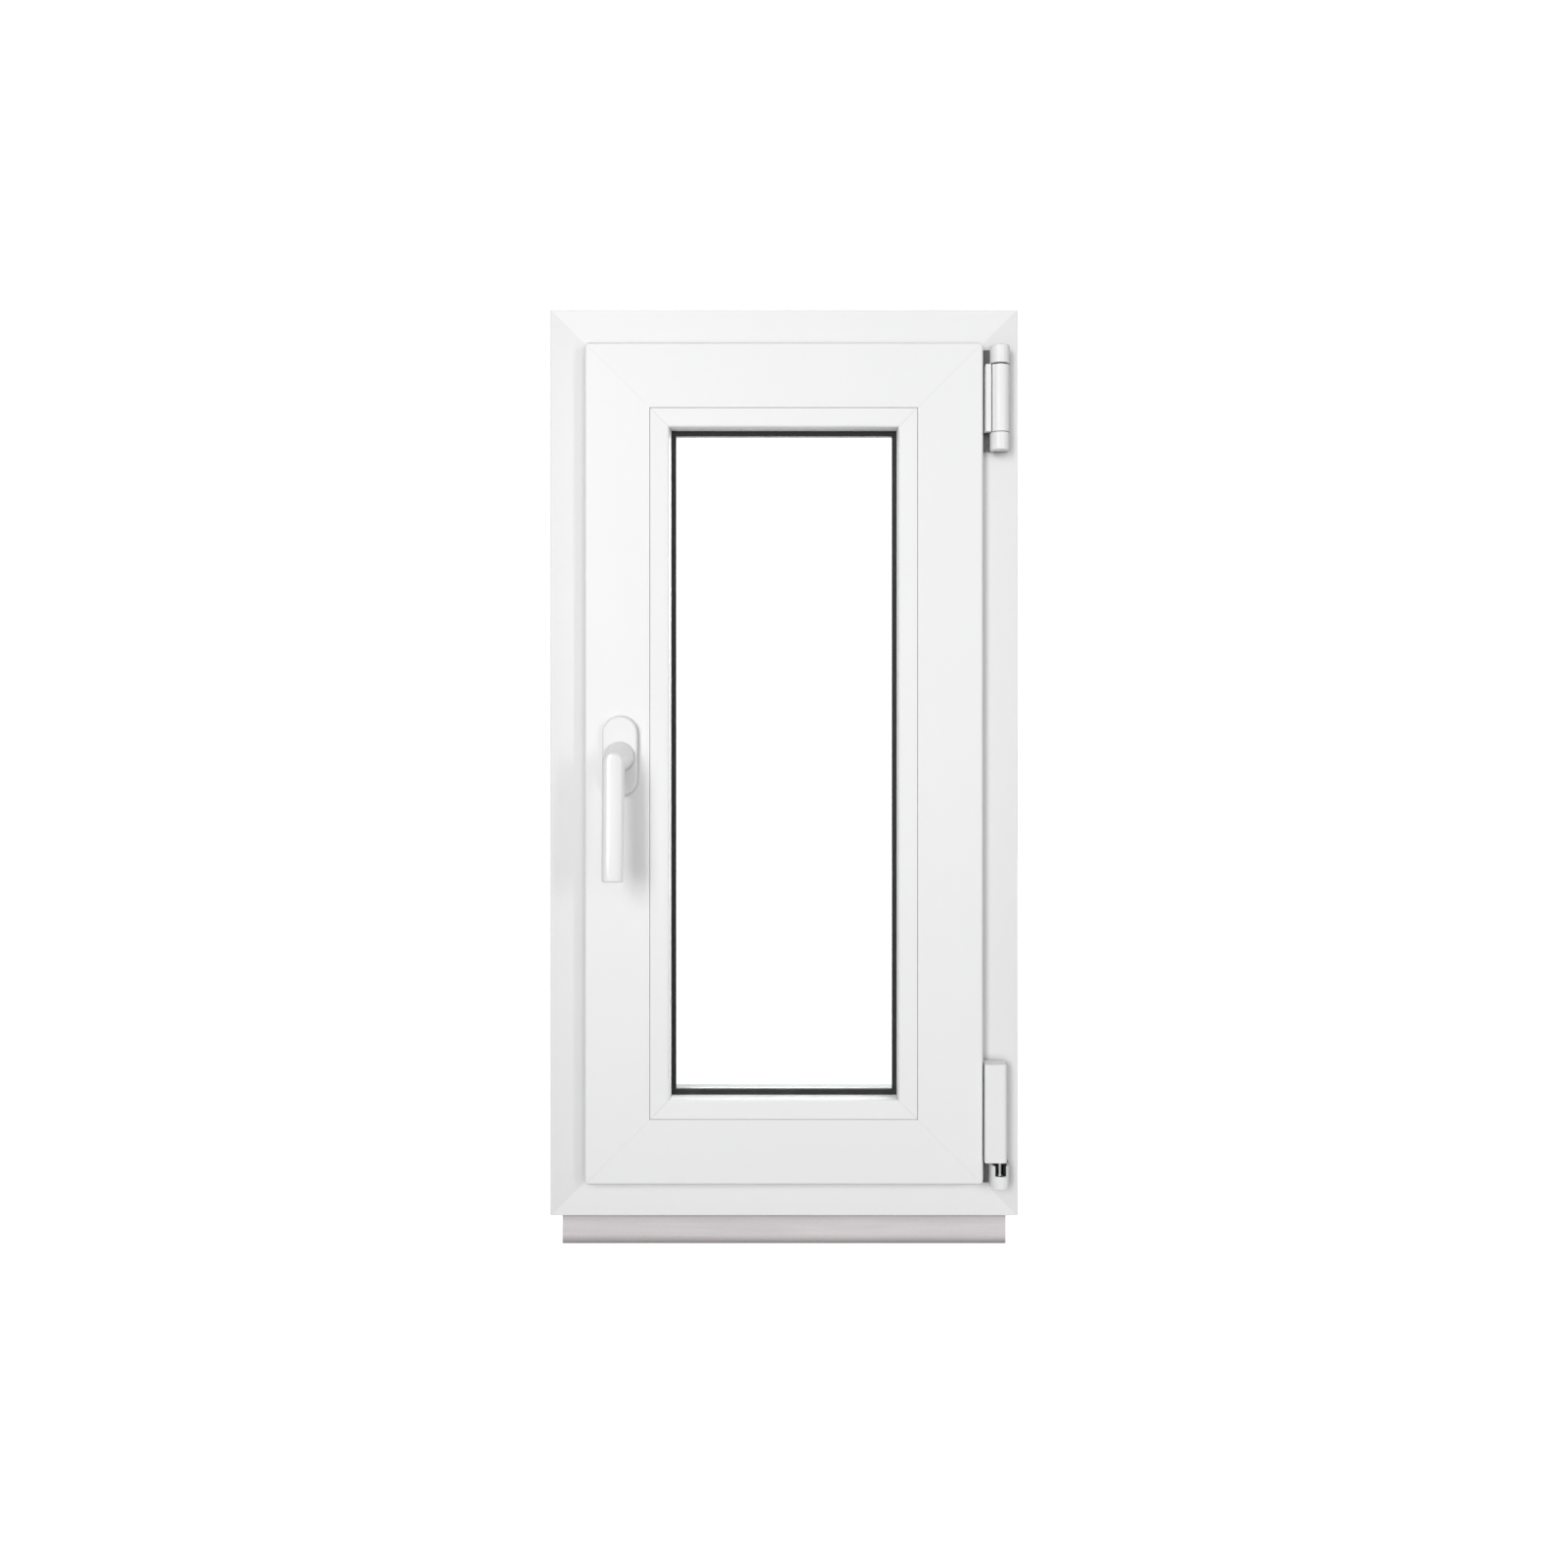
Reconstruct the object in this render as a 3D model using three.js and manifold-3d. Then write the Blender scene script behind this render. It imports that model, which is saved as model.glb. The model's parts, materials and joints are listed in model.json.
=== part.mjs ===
// A single-sash uPVC tilt-and-turn casement window: a mitred hollow frame with a sill connection profile,
// a mitred hollow sash with beaded double glazing, and the hardware that lets the sash turn inwards on
// its right-hand hinges or tilt inwards on its bottom edge, worked by one lever handle on the left.
//
// Millimetres. +Z is up, -Y faces the room and +X is to the right seen from the room. The origin is the
// middle of the underside of the sill connection profile, halfway through the frame's depth.
//
// Profiles are drawn as sections (u, y): u runs from the frame's outer edge towards the glass, and y is
// the depth, so one section serves the head, the sill and both jambs.

import * as THREE from "three";
import { mergeVertices } from "three/addons/utils/BufferGeometryUtils.js";
import Module from "manifold-3d";

const wasm = await Module();
wasm.setup();

// ---------------------------------------------------------------- driving dimensions

const FRAME_WIDTH = 480;
const FRAME_HEIGHT = 930;
const SILL_PROFILE_HEIGHT = 30;
const SILL_PROFILE_LENGTH = 456;
const SILL_PROFILE_DEPTH = 62;
const GAP = 0.3; // between pieces that touch on the real window
const MITRE_GAP = 0.21; // taken off each mitred end, so two ends stand 0.3 apart

const HALF = FRAME_WIDTH / 2;
const FRAME_BOTTOM = SILL_PROFILE_HEIGHT;
const FRAME_TOP = SILL_PROFILE_HEIGHT + FRAME_HEIGHT;

// Depths, y
const FRAME_ROOM = -35;
const FRAME_OUT = 35;
const LIP_FACE = 20; // room side of the frame's outdoor lip
const SASH_ROOM = -54;
const OVERLAP_BACK = -39; // back of the sash's overlap, 4 in front of the frame
const SASH_OUT = 16;
const GROOVE_Y = -26; // centre of the hardware groove
const GLASS_ROOM = -31;
const GLASS_OUT = -7;
const GLASS_LIP = GLASS_OUT + 3; // the sash's outdoor lip, behind the glass and its seal
const PANE = 4;

// Section widths, u
const SASH_EDGE = 37.7; // the sash covers the frame from here on
const REBATE = 46;
const LIP = 70;
const SASH_BODY = 58; // 12 of rebate clearance to the frame
const BEAD_LINE = 104.2;
const GLAZING_FLOOR = 102;
const GLASS_EDGE = 107;
const BEAD_EDGE = 124.5;
const GASKET_EDGE = 129.2; // as far as the room side seal covers the glass

// Hinges
const HINGE_X = 219.5;
const HINGE_Y = -49;
const BARREL_R = 10;
const KNUCKLE_R = 7.2;

// Handle and gearbox
const SPINDLE_U = 75;
const SPINDLE_X = -HALF + SPINDLE_U;
const SPINDLE_Z = 502.5;
const SPINDLE = 7; // the square shaft
const SCREW_PITCH = 43;
const TEETH = 16;
const MODULE = 1.25;
const PITCH_R = (TEETH * MODULE) / 2;
const STROKE = Math.PI * PITCH_R; // rod travel for the handle's half turn

// ---------------------------------------------------------------- solids

const ROUND = 28;

/** A manifold solid from a three.js geometry, turned the right way out. */
function solidOf(geometry) {
  const bare = new THREE.BufferGeometry();
  bare.setAttribute("position", geometry.getAttribute("position"));
  if (geometry.index) bare.setIndex(geometry.index);
  const merged = mergeVertices(bare.index ? bare.toNonIndexed() : bare, 1e-4);
  const build = (triangles) =>
    new wasm.Manifold(
      new wasm.Mesh({
        numProp: 3,
        vertProperties: new Float32Array(merged.attributes.position.array),
        triVerts: triangles,
      }),
    );
  const triangles = new Uint32Array(merged.index.array);
  const made = build(triangles);
  if (made.volume() >= 0) return made;
  for (let i = 0; i < triangles.length; i += 3) {
    [triangles[i + 1], triangles[i + 2]] = [triangles[i + 2], triangles[i + 1]];
  }
  return build(triangles);
}

/** A three.js geometry from a manifold solid. */
function geometryOf(solid) {
  const mesh = solid.getMesh();
  const positions = new Float32Array(mesh.numVert * 3);
  for (let i = 0; i < mesh.numVert; i++) {
    const from = i * mesh.numProp;
    positions.set(mesh.vertProperties.subarray(from, from + 3), i * 3);
  }
  const geometry = new THREE.BufferGeometry();
  geometry.setAttribute("position", new THREE.BufferAttribute(positions, 3));
  geometry.setIndex(new THREE.BufferAttribute(new Uint32Array(mesh.triVerts), 1));
  const flat = geometry.toNonIndexed();
  flat.computeVertexNormals();
  return flat;
}

const inOrder = (a, b) => (a < b ? [a, b] : [b, a]);
const join = (...solids) => solids.reduce((a, b) => a.add(b));
const cut = (solid, ...tools) => tools.reduce((a, b) => a.subtract(b), solid);

function box([x0, x1], [y0, y1], [z0, z1]) {
  const g = new THREE.BoxGeometry(x1 - x0, y1 - y0, z1 - z0);
  g.translate((x0 + x1) / 2, (y0 + y1) / 2, (z0 + z1) / 2);
  return solidOf(g);
}

/** A cylinder or cone along Z from z0 to z1. */
function post(x, y, [z0, z1], r0, r1 = r0, sides = ROUND) {
  const g = new THREE.CylinderGeometry(r1, r0, z1 - z0, sides);
  g.rotateX(Math.PI / 2);
  g.translate(x, y, (z0 + z1) / 2);
  return solidOf(g);
}

/** A cylinder or cone along Y from y0 to y1. */
function stub(x, z, [y0, y1], r0, r1 = r0, sides = ROUND) {
  const g = new THREE.CylinderGeometry(r1, r0, y1 - y0, sides);
  g.translate(x, (y0 + y1) / 2, z);
  return solidOf(g);
}

/** A cylinder along X from x0 to x1. */
function rung(y, z, [x0, x1], r, sides = ROUND) {
  const g = new THREE.CylinderGeometry(r, r, x1 - x0, sides);
  g.rotateZ(Math.PI / 2);
  g.translate((x0 + x1) / 2, y, z);
  return solidOf(g);
}

// ---------------------------------------------------------------- sections

const ARC_STEPS = 4;

/** Points of an outline, with each corner given as [a, b, radius] rounded by an arc. */
function outline(points) {
  const made = [];
  points.forEach(([a, b, radius = 0], i) => {
    const here = new THREE.Vector2(a, b);
    if (!radius) {
      made.push(here);
      return;
    }
    const before = points[(i + points.length - 1) % points.length];
    const after = points[(i + 1) % points.length];
    const back = new THREE.Vector2(before[0], before[1]).sub(here).normalize();
    const on = new THREE.Vector2(after[0], after[1]).sub(here).normalize();
    const half = Math.acos(THREE.MathUtils.clamp(back.dot(on), -1, 1)) / 2;
    const start = here.clone().addScaledVector(back, radius / Math.tan(half));
    const end = here.clone().addScaledVector(on, radius / Math.tan(half));
    const middle = here
      .clone()
      .addScaledVector(back.clone().add(on).normalize(), radius / Math.sin(half));
    const from = start.clone().sub(middle);
    const sweep = from.angle() - end.clone().sub(middle).angle();
    const turn = -Math.atan2(Math.sin(sweep), Math.cos(sweep));
    for (let k = 0; k <= ARC_STEPS; k++) {
      const p = from.clone().rotateAround(new THREE.Vector2(), (turn * k) / ARC_STEPS);
      made.push(p.add(middle));
    }
  });
  return made;
}

/** A section: an outline, and rectangular chambers, each [a0, a1, b0, b1]. */
function section(points, chambers = []) {
  const rectangles = chambers.map(([a0, a1, b0, b1]) => [
    [a0, b0],
    [a1, b0],
    [a1, b1],
    [a0, b1],
  ]);
  return {
    outer: new THREE.Shape(outline(points)),
    chambers: rectangles.map((points) => new THREE.Shape(outline(points))),
  };
}

/** Where a section point lies at one end (-1 or 1) of a member, mitred at 45 degrees. */
const PLACE = {
  head: (u, y, end, gap) => [end * (HALF - u - gap), y, FRAME_TOP - u],
  sill: (u, y, end, gap) => [end * (HALF - u - gap), y, FRAME_BOTTOM + u],
  lock: (u, y, end, gap) => [-HALF + u, y, jambEnd(u, end, gap)],
  hinge: (u, y, end, gap) => [HALF - u, y, jambEnd(u, end, gap)],
};

function jambEnd(u, end, gap) {
  return end < 0 ? FRAME_BOTTOM + u + gap : FRAME_TOP - u - gap;
}

const THROUGH = 1; // how far a cutting tool runs past the ends of what it cuts

/** One mitred length of a section. */
function member({ outer, chambers }, side, gap = MITRE_GAP) {
  const run = (shape, short) => {
    const g = new THREE.ExtrudeGeometry(shape, { depth: 1, bevelEnabled: false });
    const p = g.getAttribute("position");
    for (let i = 0; i < p.count; i++) {
      p.setXYZ(i, ...PLACE[side](p.getX(i), p.getY(i), p.getZ(i) > 0.5 ? 1 : -1, short));
    }
    return solidOf(g);
  };
  return cut(run(outer, gap), ...chambers.map((shape) => run(shape, gap - THROUGH)));
}

/** A square-cut length of a section along a jamb, from z0 to z1. */
function barInJamb({ outer }, side, [z0, z1]) {
  const g = new THREE.ExtrudeGeometry(outer, { depth: z1 - z0, bevelEnabled: false });
  const p = g.getAttribute("position");
  for (let i = 0; i < p.count; i++) {
    const [x, y] = PLACE[side](p.getX(i), p.getY(i), 1, 0);
    p.setXYZ(i, x, y, z0 + p.getZ(i));
  }
  return solidOf(g);
}

/** A closed ring of a section, round all four sides. */
function ring(points) {
  const at = outline(points);
  const corners = [
    (u, y) => [-HALF + u, y, FRAME_BOTTOM + u],
    (u, y) => [HALF - u, y, FRAME_BOTTOM + u],
    (u, y) => [HALF - u, y, FRAME_TOP - u],
    (u, y) => [-HALF + u, y, FRAME_TOP - u],
  ];
  const positions = corners.flatMap((place) => at.flatMap(({ x, y }) => place(x, y)));
  const n = at.length;
  const index = [];
  for (let k = 0; k < 4; k++) {
    for (let i = 0; i < n; i++) {
      const a = k * n + i;
      const b = k * n + ((i + 1) % n);
      const c = ((k + 1) % 4) * n + ((i + 1) % n);
      const d = ((k + 1) % 4) * n + i;
      index.push(a, b, c, a, c, d);
    }
  }
  const g = new THREE.BufferGeometry();
  g.setAttribute("position", new THREE.Float32BufferAttribute(positions, 3));
  g.setIndex(index);
  return solidOf(g);
}

/** A plan shape in x and z, extruded in depth from y0 to y1. */
function plate(points, [y0, y1]) {
  const shape = new THREE.Shape(outline(points));
  const g = new THREE.ExtrudeGeometry(shape, { depth: y1 - y0, bevelEnabled: false });
  g.rotateX(Math.PI / 2); // the shape's y becomes z, and depth runs to -Y
  g.translate(0, y1, 0);
  return solidOf(g);
}

// ---------------------------------------------------------------- the scene graph

const MATERIALS = {
  white_upvc: { color: 0xf1f1f0, roughness: 0.28, metalness: 0 },
  white_coated: { color: 0xeeeeee, roughness: 0.32, metalness: 0.05 },
  grey_upvc: { color: 0xc3bcbd, roughness: 0.45, metalness: 0 },
  black_rubber: { color: 0x1b1b1c, roughness: 0.7, metalness: 0 },
  glass: { color: 0xf4f8f7, roughness: 0.02, metalness: 0, transparent: true, opacity: 0.3 },
  spacer: { color: 0x2a2b2c, roughness: 0.5, metalness: 0.1 },
  sealant: { color: 0x232324, roughness: 0.8, metalness: 0 },
  block: { color: 0x3b6fa5, roughness: 0.5, metalness: 0 },
  zinc: { color: 0xb9bcbf, roughness: 0.34, metalness: 0.9 },
  die_cast: { color: 0xa9acaf, roughness: 0.45, metalness: 0.8 },
};

const finish = Object.fromEntries(
  Object.entries(MATERIALS).map(([name, facts]) => [
    name,
    new THREE.MeshStandardMaterial({ ...facts, name, flatShading: true }),
  ]),
);

const window_assembly = new THREE.Group();

function group(name) {
  const made = new THREE.Group();
  made.name = name;
  window_assembly.add(made);
  return made;
}

function add(parent, name, material, solid) {
  const mesh = new THREE.Mesh(geometryOf(solid), finish[material]);
  mesh.name = name;
  parent.add(mesh);
}

const frame = group("frame_body");
const sash = group("sash_body");
const hardware = group("moving_hardware");

// ---------------------------------------------------------------- frame profiles

const frameSection = section(
  [
    [0, FRAME_ROOM, 1],
    [REBATE, FRAME_ROOM, 2],
    [REBATE, 7],
    [REBATE - 3, 9],
    [REBATE - 3, LIP_FACE],
    [61, LIP_FACE],
    [61, LIP_FACE + 3],
    [65, LIP_FACE + 3],
    [65, LIP_FACE],
    [LIP, LIP_FACE, 1],
    [LIP - 3, FRAME_OUT, 2],
    [0, FRAME_OUT, 1],
    [0, 22],
    [3, 22],
    [3, 18],
    [0, 18],
    [0, -18],
    [3, -18],
    [3, -22],
    [0, -22],
  ],
  [
    [6, 43, -32, -20],
    [3, 43, -17, 5],
    [6, 40, 8, 20],
    [6, 58, 23, 32],
  ],
);

const DRAIN_X = 140;
const DRAIN_LENGTH = 30;

/** Slots that lead rain from the rebate's gutter down and out through the frame's sill. */
function drainSlots(x) {
  const across = [x - DRAIN_LENGTH / 2, x + DRAIN_LENGTH / 2];
  const bottom = FRAME_BOTTOM;
  return join(
    box(across, [12, 17], [bottom + 38, bottom + 45]),
    box(across, [18, 25], [bottom + 8, bottom + 14]),
    box(across, [30, 37], [bottom + 8, bottom + 14]),
  );
}

const frameSill = cut(member(frameSection, "sill"), drainSlots(-DRAIN_X), drainSlots(DRAIN_X));
add(frame, "frame_head", "white_upvc", member(frameSection, "head"));
add(frame, "frame_sill", "white_upvc", frameSill);
add(frame, "frame_lock_jamb", "white_upvc", member(frameSection, "lock"));
add(frame, "frame_hinge_jamb", "white_upvc", member(frameSection, "hinge"));

/** A drain cap: a low hood over each slot on the outdoor face. */
for (const [name, x] of [
  ["drain_cap_left", -DRAIN_X],
  ["drain_cap_right", DRAIN_X],
]) {
  const z = FRAME_BOTTOM + 11;
  const hood = plate(
    [
      [x - 21, z - 7, 3],
      [x + 21, z - 7, 3],
      [x + 21, z + 7, 3],
      [x - 21, z + 7, 3],
    ],
    [FRAME_OUT + GAP, FRAME_OUT + 5],
  );
  const hollow = box([x - 18, x + 18], [FRAME_OUT, FRAME_OUT + 3.2], [z - 8, z + 4]);
  add(frame, name, "white_upvc", cut(hood, hollow));
}

const STEEL_WALL = 1.5;

/** An open C of steel that fills a chamber [u0, u1, y0, y1], its mouth towards low u. */
function steelC([u0, u1, y0, y1], lip) {
  return section([
    [u0, y0],
    [u1, y0],
    [u1, y1],
    [u0, y1],
    [u0, y1 - lip],
    [u0 + STEEL_WALL, y1 - lip],
    [u0 + STEEL_WALL, y1 - STEEL_WALL],
    [u1 - STEEL_WALL, y1 - STEEL_WALL],
    [u1 - STEEL_WALL, y0 + STEEL_WALL],
    [u0 + STEEL_WALL, y0 + STEEL_WALL],
    [u0 + STEEL_WALL, y0 + lip],
    [u0, y0 + lip],
  ]);
}

const FRAME_STEEL_SPAN = [FRAME_BOTTOM + 60, FRAME_TOP - 60];
const frameSteel = steelC([4, 42, -16, 4], 5);
for (const side of ["lock", "hinge"]) {
  add(frame, `frame_steel_${side}`, "zinc", barInJamb(frameSteel, side, FRAME_STEEL_SPAN));
}

add(
  frame,
  "frame_stop_gasket",
  "black_rubber",
  ring([
    [61.3, 22.7],
    [64.7, 22.7],
    [64.7, 19.7],
    [66, 19.7],
    [66, 16.4, 1],
    [60.5, 16.4, 1],
    [60.5, 19.7],
    [61.3, 19.7],
  ]),
);

// ---------------------------------------------------------------- sill connection profile

function sillProfile() {
  const top = SILL_PROFILE_HEIGHT - GAP;
  const foot = SILL_PROFILE_HEIGHT + 3 - 2 * GAP;
  const wall = 2.5;
  const half = SILL_PROFILE_DEPTH / 2;
  const shape = section(
    [
      [-half, 0, 0.8],
      [half, 0, 0.8],
      [half, top, 0.8],
      [21.7, top],
      [21.7, foot],
      [18.3, foot],
      [18.3, top],
      [-18.3, top],
      [-18.3, foot],
      [-21.7, foot],
      [-21.7, top],
      [-half, top, 0.8],
    ],
    [
      [-half + wall, -9, wall, top - wall],
      [-9 + wall, 9 - wall, wall, top - wall],
      [9, half - wall, wall, top - wall],
    ],
  );
  const run = (drawn, length) => {
    const g = new THREE.ExtrudeGeometry(drawn, { depth: length, bevelEnabled: false });
    g.translate(0, 0, -length / 2);
    g.rotateX(Math.PI / 2); // depth to -Y, the shape's own y to +Z
    g.rotateZ(Math.PI / 2); // depth to +X, the shape's own x to +Y
    return solidOf(g);
  };
  return cut(
    run(shape.outer, SILL_PROFILE_LENGTH),
    ...shape.chambers.map((chamber) => run(chamber, SILL_PROFILE_LENGTH + 2 * THROUGH)),
  );
}
add(frame, "sill_connection_profile", "grey_upvc", sillProfile());

// ---------------------------------------------------------------- sash profiles

const sashSection = section(
  [
    [SASH_EDGE, SASH_ROOM, 3],
    [BEAD_LINE, SASH_ROOM, 0.5],
    [BEAD_LINE, SASH_ROOM + 4],
    [GLAZING_FLOOR, SASH_ROOM + 4],
    [GLAZING_FLOOR, -44],
    [98, -44],
    [98, -40],
    [GLAZING_FLOOR, -40],
    [GLAZING_FLOOR, GLASS_LIP],
    [115, GLASS_LIP],
    [115, GLASS_LIP + 3],
    [119, GLASS_LIP + 3],
    [119, GLASS_LIP],
    [124, GLASS_LIP, 1],
    [122, SASH_OUT, 1.5],
    [SASH_BODY, SASH_OUT, 1],
    [SASH_BODY, GROOVE_Y + 8],
    [61.3, GROOVE_Y + 8],
    [61.3, GROOVE_Y + 6],
    [69, GROOVE_Y + 6],
    [69, GROOVE_Y - 6],
    [61.3, GROOVE_Y - 6],
    [61.3, GROOVE_Y - 8],
    [SASH_BODY, GROOVE_Y - 8],
    [SASH_BODY, OVERLAP_BACK],
    [46, OVERLAP_BACK],
    [46, OVERLAP_BACK - 3],
    [42, OVERLAP_BACK - 3],
    [42, OVERLAP_BACK],
    [SASH_EDGE, OVERLAP_BACK, 1],
  ],
  [
    [41, 95, -51, -45],
    [72, 95, -42, -6],
    [61, 69, -15, -6],
    [61, 99, -3, 13],
    [102, 112, GLASS_LIP + 3, 13],
  ],
);

const PLAN_RADIUS = 6.5;

/** What a rounded corner in plan takes off a square one, over a depth range. */
function cornerWaste(signX, cornerX, signZ, cornerZ, depth) {
  const middleX = cornerX - signX * PLAN_RADIUS;
  const middleZ = cornerZ - signZ * PLAN_RADIUS;
  const square = box(inOrder(cornerX, middleX), depth, inOrder(cornerZ, middleZ));
  return cut(square, stub(middleX, middleZ, depth, PLAN_RADIUS));
}

const OVERLAP_DEPTH = [SASH_ROOM - 1, OVERLAP_BACK + 0.5];
const sashCornerWaste = join(
  ...[-1, 1].flatMap((sx) =>
    [
      [-1, FRAME_BOTTOM + SASH_EDGE],
      [1, FRAME_TOP - SASH_EDGE],
    ].map(([sz, z]) => cornerWaste(sx, sx * (HALF - SASH_EDGE), sz, z, OVERLAP_DEPTH)),
  ),
);

const gearboxPocket = box(
  [-HALF + 68, -HALF + 93],
  [GROOVE_Y - 6, GROOVE_Y + 6],
  [SPINDLE_Z - 52, SPINDLE_Z + 52],
);
const SCREW_OFFSETS = [SCREW_PITCH / 2, -SCREW_PITCH / 2];
const handleDrilling = (radius, screwRadius) =>
  join(
    stub(SPINDLE_X, SPINDLE_Z, [SASH_ROOM - 1, GROOVE_Y - 5], radius),
    ...SCREW_OFFSETS.map((dz) =>
      stub(SPINDLE_X, SPINDLE_Z + dz, [SASH_ROOM - 1, GROOVE_Y - 5], screwRadius),
    ),
  );

const trimmed = (side) => cut(member(sashSection, side), sashCornerWaste);
add(sash, "sash_top_rail", "white_upvc", trimmed("head"));
add(sash, "sash_bottom_rail", "white_upvc", trimmed("sill"));
add(
  sash,
  "sash_lock_stile",
  "white_upvc",
  cut(trimmed("lock"), gearboxPocket, handleDrilling(8, 3)),
);
add(sash, "sash_hinge_stile", "white_upvc", trimmed("hinge"));

const SASH_STEEL_SPAN = [FRAME_BOTTOM + 115, FRAME_TOP - 115];
const sashSteel = steelC([72.7, 94.3, -41.3, -6.7], 6.8);
add(
  sash,
  "sash_steel_lock",
  "zinc",
  cut(barInJamb(sashSteel, "lock", SASH_STEEL_SPAN), handleDrilling(8.5, 3.5)),
);
add(sash, "sash_steel_hinge", "zinc", barInJamb(sashSteel, "hinge", SASH_STEEL_SPAN));

// The overlap gasket's lip stops where a hinge leaf passes through the gap; its foot runs on.
const CRANK_Z = [831.3, 899.3];
const BAND_Z = [90.6, 189];
const leafNotches = join(
  ...[CRANK_Z, BAND_Z].map(([z0, z1]) => box([190, 202], [-38.9, -34], [z0 - 1.5, z1 + 1.5])),
);
const sashGasket = ring([
  [42.3, OVERLAP_BACK - 2.7],
  [45.7, OVERLAP_BACK - 2.7],
  [45.7, -35.4, 1],
  [41, -35.4, 1],
  [41, OVERLAP_BACK + GAP],
  [42.3, OVERLAP_BACK + GAP],
]);
add(sash, "sash_overlap_gasket", "black_rubber", cut(sashGasket, leafNotches));

// ---------------------------------------------------------------- glazing

function pane([y0, y1]) {
  const reach = HALF - GLASS_EDGE;
  return box([-reach, reach], [y0, y1], [FRAME_BOTTOM + GLASS_EDGE, FRAME_TOP - GLASS_EDGE]);
}
add(sash, "inner_glass_pane", "glass", pane([GLASS_ROOM, GLASS_ROOM + PANE]));
add(sash, "outer_glass_pane", "glass", pane([GLASS_OUT - PANE, GLASS_OUT]));

const CAVITY = [GLASS_ROOM + PANE + GAP, GLASS_OUT - PANE - GAP];
const cavityRing = (u0, u1) =>
  ring([
    [u0, CAVITY[0]],
    [u1, CAVITY[0]],
    [u1, CAVITY[1]],
    [u0, CAVITY[1]],
  ]);
add(sash, "glass_spacer_bar", "spacer", cavityRing(112, 118.5));
add(sash, "glass_edge_seal", "sealant", cavityRing(GLASS_EDGE + 0.5, 111.7));

const beadSection = section(
  [
    [BEAD_LINE + GAP, SASH_ROOM, 0.5],
    [BEAD_EDGE - 1, SASH_ROOM + 0.8, 2.2],
    [BEAD_EDGE, -46, 3],
    [BEAD_EDGE, GLASS_ROOM - 4.5],
    [BEAD_EDGE - 2.5, GLASS_ROOM - 3],
    [GLAZING_FLOOR + GAP, GLASS_ROOM - 3],
    [GLAZING_FLOOR + GAP, -40.3],
    [98.6, -40.6],
    [98.6, -43.4],
    [GLAZING_FLOOR + GAP, -43.7],
    [GLAZING_FLOOR + GAP, SASH_ROOM + 4 + GAP],
    [BEAD_LINE + GAP, SASH_ROOM + 4 + GAP],
  ],
  [[106.5, BEAD_EDGE - 4, -48, GLASS_ROOM - 6.5]],
);
for (const [name, side] of [
  ["top", "head"],
  ["bottom", "sill"],
  ["lock_side", "lock"],
  ["hinge_side", "hinge"],
]) {
  add(sash, `glazing_bead_${name}`, "white_upvc", member(beadSection, side));
}

add(
  sash,
  "glazing_gasket_room",
  "black_rubber",
  ring([
    [113, GLASS_ROOM - 3 + GAP],
    [BEAD_EDGE - 1, GLASS_ROOM - 3 + GAP],
    [GASKET_EDGE - 0.4, GLASS_ROOM - 2, 0.4],
    [GASKET_EDGE, GLASS_ROOM - GAP],
    [113, GLASS_ROOM - GAP],
  ]),
);
add(
  sash,
  "glazing_gasket_outdoor",
  "black_rubber",
  ring([
    [113, GLASS_OUT + GAP],
    [123.4, GLASS_OUT + GAP],
    [123.2, GLASS_LIP - 1],
    [122.6, GLASS_LIP - GAP],
    [118.7, GLASS_LIP - GAP],
    [118.7, GLASS_LIP + 3 - GAP],
    [115.3, GLASS_LIP + 3 - GAP],
    [115.3, GLASS_LIP - GAP],
    [113, GLASS_LIP - GAP],
  ]),
);

const BLOCK_Y = [GLASS_ROOM + 0.5, GLASS_OUT - 0.5];
const BLOCK_Z = [FRAME_BOTTOM + GLAZING_FLOOR + GAP, FRAME_BOTTOM + GLASS_EDGE - GAP];
add(sash, "setting_block_left", "block", box([-110, -40], BLOCK_Y, BLOCK_Z));
add(sash, "setting_block_right", "block", box([40, 110], BLOCK_Y, BLOCK_Z));

// ---------------------------------------------------------------- gearbox, rods and faceplates

const FACEPLATE = [SASH_BODY + GAP, 61]; // u
const FACEPLATE_HALF = 7.7;
const ROD = [61.5, 63.4]; // u
const ROD_HALF = 5.7;
const CAM_R = 4;
const CAM_TIP = SASH_BODY - 6; // u
const CAM_CLEAR = 0.5;

/** A section range u0 to u1 as heights, at the head or the sill. */
function heights(side, [u0, u1]) {
  return side === "head" ? [FRAME_TOP - u1, FRAME_TOP - u0] : [FRAME_BOTTOM + u0, FRAME_BOTTOM + u1];
}

/** A block along one side of the frame: its section range, its depth and its run. */
function block(side, u, depth, run) {
  if (side === "lock") return box([-HALF + u[0], -HALF + u[1]], depth, run);
  return box(run, depth, heights(side, u));
}

/** A round bar across the gap between sash and frame, in the middle of the hardware groove. */
function crossbar(side, at, u, r, sides) {
  if (side === "lock") return rung(GROOVE_Y, at, [-HALF + u[0], -HALF + u[1]], r, sides);
  return post(at, GROOVE_Y, heights(side, u), r, r, sides);
}

/** A strip in the hardware groove of one side: u range, half width in y, and its length. */
function strip(side, u, halfWidth, run) {
  return block(side, u, [GROOVE_Y - halfWidth, GROOVE_Y + halfWidth], run);
}

/** A round locking cam that stands up from the rod, with a wider foot and head. */
function cam(side, at) {
  return join(
    crossbar(side, at, [CAM_TIP, CAM_TIP + 2.4], CAM_R, 20),
    crossbar(side, at, [CAM_TIP + 2, ROD[0] + 0.5], CAM_R - 1, 20),
  );
}

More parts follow.
